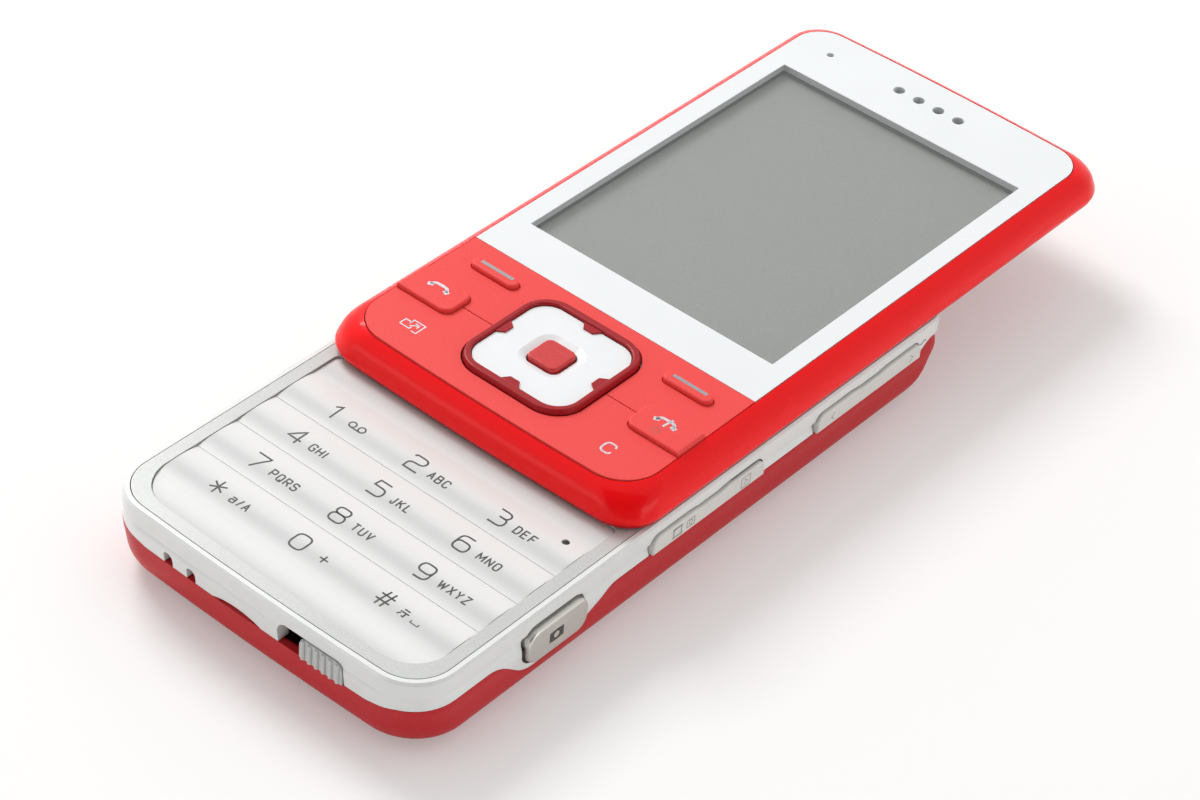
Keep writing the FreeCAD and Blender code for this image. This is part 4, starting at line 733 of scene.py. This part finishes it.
# Single-stroke characters in a unit box: (x, y) or (x, y, corner radius).
GLYPHS = {
    "0": [ring(0, 0, 1, 1, 0.42)],
    "1": [[(0.25, 0.76), (0.62, 1), (0.62, 0)]],
    "2": [[(0, 0.86), (0, 1, 0.2), (1, 1, 0.42), (1, 0.52, 0.34), (0, 0.46, 0.34), (0, 0), (1, 0)]],
    "3": [[(0.05, 1), (0.96, 1, 0.4), (0.96, 0.53, 0.3), (0.35, 0.53)],
          [(0.60, 0.53), (1, 0.53, 0.3), (1, 0, 0.42), (0, 0)]],
    "4": [[(0.74, 0), (0.74, 1), (0, 0.28), (1, 0.28)]],
    "5": [[(0.94, 1), (0.10, 1), (0.04, 0.60), (1, 0.60, 0.4), (1, 0, 0.42), (0, 0)]],
    "6": [ring(0, 0, 1, 0.60, 0.36), [(0.0, 0.34), (0, 1, 0.7), (0.85, 1)]],
    "7": [[(0, 1), (1, 1), (0.98, 0.9), (0.34, 0)]],
    "8": [ring(0.05, 0.54, 0.95, 1, 0.3), ring(0, 0, 1, 0.54, 0.36)],
    "9": [ring(0, 0.40, 1, 1, 0.36), [(1, 0.66), (1, 0, 0.7), (0.15, 0)]],
    "*": [[(0.5, 0), (0.5, 1)], [(0.04, 0.26), (0.96, 0.74)], [(0.04, 0.74), (0.96, 0.26)]],
    "#": [[(0.26, 0), (0.40, 1)], [(0.62, 0), (0.76, 1)], [(0.02, 0.32), (0.94, 0.32)],
          [(0.06, 0.68), (0.98, 0.68)]],
    "+": [[(0, 0.5), (1, 0.5)], [(0.5, 0), (0.5, 1)]],
    "/": [[(0.1, 0), (0.9, 1)]],
    "A": [[(0, 0), (0.5, 1), (1, 0)], [(0.18, 0.34), (0.82, 0.34)]],
    "B": [[(0, 0), (0, 1), (0.9, 1, 0.3), (0.9, 0.53, 0.25), (0, 0.53)],
          [(0.5, 0.53), (1, 0.53, 0.3), (1, 0, 0.3), (0, 0)]],
    "C": [[(0.97, 0.74), (0.86, 1, 0.36), (0, 1, 0.5), (0, 0, 0.5), (0.86, 0, 0.36), (0.97, 0.26)]],
    "D": [[(0, 0), (0, 1), (1, 1, 0.55), (1, 0, 0.55), (0, 0)]],
    "E": [[(0.95, 1), (0, 1), (0, 0), (1, 0)], [(0, 0.52), (0.85, 0.52)]],
    "F": [[(1, 1), (0, 1), (0, 0)], [(0, 0.50), (0.85, 0.50)]],
    "G": [[(0.98, 0.74), (1, 1, 0.4), (0, 1, 0.5), (0, 0, 0.5), (1, 0, 0.3), (1, 0.48), (0.55, 0.48)]],
    "H": [[(0, 0), (0, 1)], [(1, 0), (1, 1)], [(0, 0.5), (1, 0.5)]],
    "I": [[(0.5, 0), (0.5, 1)]],
    "J": [[(0.85, 1), (0.85, 0, 0.5), (0.1, 0, 0.45), (0.1, 0.3)]],
    "K": [[(0, 0), (0, 1)], [(0.95, 1), (0, 0.42)], [(0.35, 0.62), (1, 0)]],
    "L": [[(0, 1), (0, 0), (0.95, 0)]],
    "M": [[(0, 0), (0, 1), (0.5, 0.25), (1, 1), (1, 0)]],
    "N": [[(0, 0), (0, 1), (1, 0), (1, 1)]],
    "O": [ring(0, 0, 1, 1, 0.5)],
    "P": [[(0, 0), (0, 1), (1, 1, 0.35), (1, 0.45, 0.3), (0, 0.45)]],
    "Q": [ring(0, 0, 1, 1, 0.5), [(0.6, 0.25), (1, -0.05)]],
    "R": [[(0, 0), (0, 1), (1, 1, 0.35), (1, 0.48, 0.3), (0, 0.48)], [(0.5, 0.48), (1, 0)]],
    "S": [[(0.95, 0.78), (0.95, 1, 0.35), (0.03, 1, 0.4), (0.03, 0.53, 0.3), (1, 0.50, 0.3),
           (1, 0, 0.4), (0, 0, 0.35), (0, 0.22)]],
    "T": [[(0, 1), (1, 1)], [(0.5, 1), (0.5, 0)]],
    "U": [[(0, 1), (0, 0, 0.5), (1, 0, 0.5), (1, 1)]],
    "V": [[(0, 1), (0.5, 0), (1, 1)]],
    "W": [[(0, 1), (0.25, 0), (0.5, 0.85), (0.75, 0), (1, 1)]],
    "X": [[(0, 0), (1, 1)], [(0, 1), (1, 0)]],
    "Y": [[(0, 1), (0.5, 0.45), (1, 1)], [(0.5, 0.45), (0.5, 0)]],
    "Z": [[(0, 1), (1, 1), (0, 0), (1, 0)]],
    "a": [[(0.1, 0.62, 0.2), (0.1, 0.72, 0.3), (0.95, 0.72, 0.3), (0.95, 0)],
          [(0.95, 0.42), (0, 0.42, 0.25), (0, 0, 0.25), (0.95, 0, 0.3), (0.95, 0.3)]],
    "<": [[(0.9, 0), (0.1, 0.5), (0.9, 1)]],
    ">": [[(0.1, 0), (0.9, 0.5), (0.1, 1)]],
}

# Keypad legends
DIGIT_SIZE = (2.0, 2.48)
DIGIT_STROKE = 0.24
LETTER_SIZE = (0.66, 1.17)
LETTER_GAP = 0.46
LETTER_STROKE = 0.20
LETTER_SHARES = {"I": 0.08, "J": 0.75, "L": 0.85, "M": 1.3, "W": 1.5, "/": 0.6}
DIGIT_COLUMNS = (-14.8, -1.85, 11.15)
LETTER_LEFTS = (-12.4, 0.45, 13.6)
SIGN_COLUMNS = (-11.0, 2.0, 15.1)
SIGN_SIZES = {"#": (2.15, 2.6), "*": (2.0, 2.3)}
PLUS_SIZE = (1.2, 1.2)
SPACE_STROKE = 0.13
LEGEND_ROWS = (-20.1, -26.3, -32.7, -39.0)
LETTER_DROP = 0.25
KEYS = (
    (("1", ""), ("2", "ABC"), ("3", "DEF")),
    (("4", "GHI"), ("5", "JKL"), ("6", "MNO")),
    (("7", "PQRS"), ("8", "TUV"), ("9", "WXYZ")),
    (("*", "a/A"), ("0", ""), ("#", "")),
)


def tape_icon(marks, at):
    """Two reels joined by a line."""
    reel = 0.46
    spread = 0.72
    for side in (-1, 1):
        marks.circle((at[0] + side * spread, at[1]), reel, LETTER_STROKE)
    marks.stroke([(at[0] - spread, at[1] - reel), (at[0] + spread, at[1] - reel)], LETTER_STROKE)


def note_icon(marks, at):
    """A note with small ticks, and the space bracket beside it."""
    x, y = at
    marks.stroke([(x - 1.3, y + 0.55), (x - 0.5, y + 0.55)], LETTER_STROKE)
    marks.stroke([(x - 1.5, y + 0.1), (x - 0.3, y + 0.1)], LETTER_STROKE)
    marks.stroke([(x - 0.7, y + 0.1), (x - 0.7, y - 0.5), (x - 1.0, y - 0.5)], LETTER_STROKE)
    marks.stroke([(x - 1.3, y - 0.1), (x - 1.6, y - 0.5)], LETTER_STROKE)
    marks.stroke([(x + 0.4, y - 0.2), (x + 0.4, y - 0.55), (x + 1.5, y - 0.55), (x + 1.5, y - 0.2)],
                 SPACE_STROKE)


def keypad_legends(ink):
    for row, keys in enumerate(KEYS):
        node = "keypad_row_%d" % (row + 1)
        marks = Marks(Face(node, X_AXIS, Y_AXIS))
        y = LEGEND_ROWS[row]
        for column, (digit, letters) in enumerate(keys):
            size = SIGN_SIZES.get(digit, DIGIT_SIZE)
            marks.text(digit, (DIGIT_COLUMNS[column], y), size, 0, DIGIT_STROKE)
            marks.line(letters, LETTER_LEFTS[column], y - LETTER_DROP, LETTER_SIZE, LETTER_GAP,
                       LETTER_STROKE)
        if row == 0:
            tape_icon(marks, (SIGN_COLUMNS[0], y - LETTER_DROP))
        if row == 3:
            marks.text("+", (SIGN_COLUMNS[1], y - LETTER_DROP), PLUS_SIZE, 0, LETTER_STROKE)
            note_icon(marks, (SIGN_COLUMNS[2], y - LETTER_DROP))
        marks.piece("legends_row_%d" % (row + 1), node, "black_plastic", ink)


# Marks on the front keys, in the upper half's own y
SOFT_BAR = (15.1, -26.95, 5.1, 0.5)
CALL_MARK = (-17.7, -34.5)
END_MARK = (17.5, -34.3)
POWER_MARK = (17.4, -36.1)
POWER_RADIUS = 0.55
HANDSET_SPAN = 1.25
GRIP_STROKE = 0.42
EAR_STROKE = 0.62
SLASH_STROKE = 0.3
POWER_STROKE = 0.14
CLEAR_STROKE = 0.26
MENU_STROKE = 0.17
MENU_MARK = (-15.5, -41.7)
CLEAR_MARK = (15.3, -41.8)
CLEAR_SIZE = (1.5, 1.8)


def on_upper(mark):
    """A place in the upper half's own y, in the frame's y at rest."""
    return (mark[0], mark[1] + SLIDE_OPEN)


def handset(marks, at):
    """A handset: a thin bowed grip with two thick ends."""
    x, y = at
    span = HANDSET_SPAN
    bow = span * 0.8
    rise, radius = 0.5, 0.6
    marks.stroke([(x - span, y - 0.25), (x - bow, y + rise, radius), (x + bow, y + rise, radius),
                  (x + span, y - 0.25)], GRIP_STROKE)
    for side in (-1, 1):
        marks.stroke([(x + side * span * 1.28, y - 0.30), (x + side * span * 0.72, y - 0.02)],
                     EAR_STROKE)


def front_marks(silver, bar, dim):
    for side, name in ((-1, "soft_key_left"), (1, "soft_key_right")):
        marks = Marks(Face(name, X_AXIS, Y_AXIS))
        x, y, length, width = SOFT_BAR
        y += SLIDE_OPEN
        marks.stroke([(side * x - length / 2, y), (side * x + length / 2, y)], width)
        marks.piece(name + "_bar", name, "silver_key", bar)

    marks = Marks(Face("call_key", X_AXIS, Y_AXIS))
    handset(marks, on_upper(CALL_MARK))
    marks.piece("call_mark", "call_key", "silver_key", silver)

    marks = Marks(Face("end_key", X_AXIS, Y_AXIS))
    x, y = on_upper(END_MARK)
    handset(marks, (x, y))
    marks.stroke([(x + 0.1, y - 0.75), (x + 0.35, y + 0.95)], SLASH_STROKE)
    marks.piece("end_mark", "end_key", "silver_key", silver)

    marks = Marks(Face("end_key", X_AXIS, Y_AXIS))
    x, y = on_upper(POWER_MARK)
    marks.circle((x, y), POWER_RADIUS, POWER_STROKE)
    marks.stroke([(x, y - 0.25), (x, y + 0.25)], POWER_STROKE)
    marks.piece("power_mark", "end_key", "silver_key", dim)

    marks = Marks(Face("function_plate", X_AXIS, Y_AXIS))
    marks.text("C", on_upper(CLEAR_MARK), CLEAR_SIZE, 0, CLEAR_STROKE)
    menu_icon(marks, on_upper(MENU_MARK))
    marks.piece("function_marks", "function_plate", "silver_key", silver)


def menu_icon(marks, at):
    """Two overlapping frames with an arrow out of the lower one."""
    x, y = at
    thin = MENU_STROKE
    marks.stroke([(x - 1.35, y - 0.55), (x + 0.15, y - 0.55), (x + 0.15, y - 0.1)], thin)
    marks.stroke([(x - 1.35, y - 0.55), (x - 1.35, y + 0.55), (x - 0.45, y + 0.55)], thin)
    marks.stroke([(x - 0.45, y + 0.2), (x - 0.45, y + 1.05), (x + 1.35, y + 1.05), (x + 1.35, y - 0.75),
                  (x + 0.6, y - 0.75)], thin)
    marks.stroke([(x - 0.2, y - 0.1), (x + 0.75, y + 0.6)], thin)
    marks.stroke([(x + 0.15, y + 0.62), (x + 0.78, y + 0.62), (x + 0.78, y + 0.05)], thin)


# Marks on the right side: (y, z)
SIDE_INK_WIDTH = 0.14
CAMERA_KEY_MARK = (-26.2, 6.7)
FILM_MARK = (-3.9, 8.35)
SQUARE_MARK = (7.4, 8.35)
ZOOM_OUT_MARK = (24.2, 8.3)
ZOOM_IN_MARK = (40.0, 8.3)
ZOOM_SIGN = (43.2, 8.6)
ZOOM_ARROW_SIZE = (0.8, 1.1)


def side_marks(ink, pale_ink):
    marks = Marks(Face("camera_key", Y_AXIS, Z_AXIS))
    y, z = CAMERA_KEY_MARK
    for side in (-1, 1):
        marks.stroke([(y + side * 0.92, z - 0.72), (y + side * 0.92, z + 0.72)], 0.5)
        marks.stroke([(y - 0.7, z + side * 0.62), (y + 0.7, z + side * 0.62)], 0.3)
    marks.circle((y, z), 0.6, 0.28)
    marks.piece("camera_key_mark", "camera_key", "black_plastic", ink)

    marks = Marks(Face("mode_rocker", Y_AXIS, Z_AXIS))
    y, z = FILM_MARK
    marks.stroke(ring(y - 1.9, z - 0.6, y - 0.5, z + 0.6, 0.05), 0.2)
    for side in (-0.6, 0.6):
        marks.stroke([(y - 2.1, z + side), (y - 0.3, z + side)], 0.18)
    marks.stroke(ring(y + 0.5, z - 0.55, y + 1.9, z + 0.5, 0.15), SIDE_INK_WIDTH)
    marks.circle((y + 1.2, z), 0.3, SIDE_INK_WIDTH)
    y, z = SQUARE_MARK
    marks.stroke(ring(y - 0.8, z - 0.75, y + 0.8, z + 0.75, 0.05), SIDE_INK_WIDTH)
    marks.stroke([(y - 0.3, z - 0.35), (y + 0.35, z), (y - 0.3, z + 0.35)], SIDE_INK_WIDTH)
    marks.piece("mode_rocker_marks", "mode_rocker", "lever_grey", pale_ink)

    marks = Marks(Face("zoom_rocker", Y_AXIS, Z_AXIS))
    marks.text("<", ZOOM_OUT_MARK, ZOOM_ARROW_SIZE, 0, SIDE_INK_WIDTH)
    marks.text(">", ZOOM_IN_MARK, ZOOM_ARROW_SIZE, 0, SIDE_INK_WIDTH)
    marks.piece("zoom_rocker_marks", "zoom_rocker", "lever_grey", pale_ink)

    marks = Marks(Face("lower_frame", Y_AXIS, Z_AXIS))
    y, z = ZOOM_SIGN
    marks.circle((y, z), 0.42, SIDE_INK_WIDTH)
    marks.stroke([(y - 0.3, z - 0.3), (y - 0.8, z - 0.8)], SIDE_INK_WIDTH)
    marks.piece("zoom_sign", "lower", "lever_grey", ink)


# ---------------------------------------------------------------- joints, painted shade of the microphone hole, and the shaded lip
# Dark joints beside the side keys: node, first and last angle round the key (degrees), width
SIDE_RIMS = (
    ("camera_key", 232, 20, 0.34),
    ("mode_rocker", 200, 8, 0.17),
    ("zoom_rocker", 200, 8, 0.17),
)
RIM_STEPS = 120
RIM_HALVINGS = 14
RIM_REACH = 1.95            # times half the key's box, past every point of its outline
RIM_GAP = 0.04              # between a key and its rim


def key_rim(node, start, end, offset):
    """A side key's outline as (y, z) points, offset outwards, from one angle to another (degrees)."""
    face = Face(node, Y_AXIS, Z_AXIS)
    low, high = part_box(node)
    centre = [(low[i] + high[i]) / 2 / MM for i in (1, 2)]
    half = [(high[i] - low[i]) / 2 / MM for i in (1, 2)]
    points = []
    for i in range(RIM_STEPS + 1):
        turn = math.radians(start + (end - start) * i / RIM_STEPS)
        way = (math.cos(turn) * half[0], math.sin(turn) * half[1])
        inside, outside = 0.0, RIM_REACH
        for _ in range(RIM_HALVINGS):
            share = (inside + outside) / 2
            at = (face.right * (centre[0] + way[0] * share)
                  + face.up * (centre[1] + way[1] * share) + face.out * FACE_REACH) * MM
            if face.tree.ray_cast(at, -face.out)[0] is None:
                outside = share
            else:
                inside = share
        points.append(Vector((centre[0] + way[0] * inside, centre[1] + way[1] * inside)))
    moved = []
    for i, point in enumerate(points):
        along = points[min(i + 1, RIM_STEPS)] - points[max(i - 1, 0)]
        side = Vector((along.y, -along.x)).normalized()
        if side.dot(point - Vector(centre)) < 0:
            side = -side
        moved.append(tuple(point + side * offset))
    return moved


def side_rims(black):
    """Dark joints beside the side keys, along their upper edges and their ends towards the keypad."""
    for node, start, end, width in SIDE_RIMS:
        marks = Marks(Face("lower_frame", Y_AXIS, Z_AXIS))
        marks.stroke(key_rim(node, start, end, width / 2 + RIM_GAP), width)
        marks.piece(node + "_rim", "lower", "black_plastic", black)


MIC_INSETS = (2.8, 6.1)     # from the corner of the first keypad row
MIC_RADIUS = 0.44
MIC_SUNK = 0.32
MIC_RISE = 0.06
MIC_RINGS = ((0.5, 0.75), (1.0, 0.0))    # shares of the radius and of the rise
MIC_SIDES = 24


def microphone_shade_disc(black):
    """Slightly domed black disc in the microphone's hole, painted shade of the deep hole."""
    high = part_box("keypad_row_1")[1]
    middle = Vector(high) - Vector((*MIC_INSETS, MIC_SUNK)) * MM
    points = [middle + Z_AXIS * MIC_RISE * MM]
    for share, rise in MIC_RINGS:
        for i in range(MIC_SIDES):
            turn = 2 * math.pi * i / MIC_SIDES
            way = Vector((math.cos(turn), math.sin(turn), 0)) * MIC_RADIUS * share
            points.append(middle + (way + Z_AXIS * MIC_RISE * rise) * MM)
    faces = []
    for i in range(MIC_SIDES):
        after = (i + 1) % MIC_SIDES
        faces.append((0, 1 + i, 1 + after))
        faces.append((1 + i, 1 + MIC_SIDES + i, 1 + MIC_SIDES + after, 1 + after))
    add_piece("microphone_shade_disc", points, faces, black, "keypad_row_1")


LIP_WIDEST = 1.2            # height of the housing's widest level above its underside
LIP_LIFT = 0.02             # of the lip's foot above the underside
LIP_TUCK = 0.02             # of the lip's top edge behind the widest level
LIP_ROUND_INSET = 0.06      # of its bend, which lies this far below the top edge:
LIP_ROUND_DROP = 0.5
LIP_INSET = 0.3             # of the foot behind the widest level
LIP_DEPTH = 0.5             # of the foot from there inwards
LIP_STEP = 1.0              # between sections along the straight sides
LIP_CORNER = 6.0            # radius round which the rays of a corner turn
LIP_CORNER_STEPS = 12
LIP_RAY = 20.0              # rays to the housing start this far out


def lip_rays(low, high):
    """Starts and directions of the lip's sections, round the housing's box from its +X side."""
    left, right = low[0] + LIP_CORNER, high[0] - LIP_CORNER
    near, far = low[1] + LIP_CORNER, high[1] - LIP_CORNER
    corners = [Vector((x, y, 0)) for x, y in ((right, far), (left, far), (left, near), (right, near))]

    def outwards(degrees):
        turn = math.radians(degrees)
        return Vector((math.cos(turn), math.sin(turn), 0))

    rays = []
    for i, corner in enumerate(corners):
        for step in range(LIP_CORNER_STEPS + 1):
            rays.append((corner, outwards(90 * (i + step / LIP_CORNER_STEPS))))
        run = corners[(i + 1) % 4] - corner
        count = round(run.length / LIP_STEP)
        rays += [(corner + run * k / count, outwards(90 * (i + 1))) for k in range(1, count)]
    return rays


def housing_lip(red):
    """Lower lip that carries the upper half's edge down to the joint between the halves, in a darker
    red that paints the shade under that edge.
    """
    low, high = ([v / MM for v in corner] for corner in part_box("upper_housing"))
    tree = Face("upper_housing", X_AXIS, Y_AXIS).tree
    foot = low[2] + LIP_LIFT
    top = low[2] + LIP_WIDEST
    section = ((LIP_TUCK, top), (LIP_ROUND_INSET, top - LIP_ROUND_DROP), (LIP_INSET, foot),
               (LIP_INSET + LIP_DEPTH, foot), (LIP_INSET + LIP_DEPTH, top))
    points = []
    rays = lip_rays(low, high)
    for start, way in rays:
        hit = tree.ray_cast((start + way * LIP_RAY + Z_AXIS * top) * MM, -way)[0] / MM
        edge = Vector((hit.x, hit.y, 0))
        points += [(edge - way * inset + Z_AXIS * z) * MM for inset, z in section]
    faces = []
    sides = len(section)
    for i in range(len(rays)):
        a, b = sides * i, sides * ((i + 1) % len(rays))
        for j in range(sides):
            k = (j + 1) % sides
            faces.append((a + j, a + k, b + k, b + j))
    add_piece("housing_lip", points, faces, red, "upper")


def ink(name, colour, roughness, metallic=0.0):
    """Printing ink for the marks, slightly uneven."""
    finish = Finish(name, colour, roughness, Metallic=metallic)
    finish.tint(finish.noise(0.4), 0.9, 1.1)
    return finish.material


make_camera()
make_floor()
make_lights()
make_world()
dress_nodes()
keypad_legends(ink("legend_ink", (0.045, 0.045, 0.04), 0.5))
front_marks(ink("silver_ink", (0.60, 0.61, 0.64), 0.35, 0.5),
            ink("bar_ink", (0.33, 0.34, 0.36), 0.35, 0.5),
            ink("dim_ink", (0.50, 0.10, 0.07), 0.5))
rim_ink = ink("rim_ink", (0.012, 0.012, 0.012), 0.5)
side_rims(rim_ink)
# A black disc paints the shade inside the microphone's hole.
microphone_shade_disc(rim_ink)
# The lip's darker red is painted shade along the joint between the halves.
housing_lip(red_lip_painted_shade("red_lip_painted_shade").material)
side_marks(ink("side_ink", (0.06, 0.06, 0.055), 0.5), ink("pale_ink", (0.36, 0.36, 0.33), 0.5))

bpy.context.scene.view_settings.view_transform = "Standard"
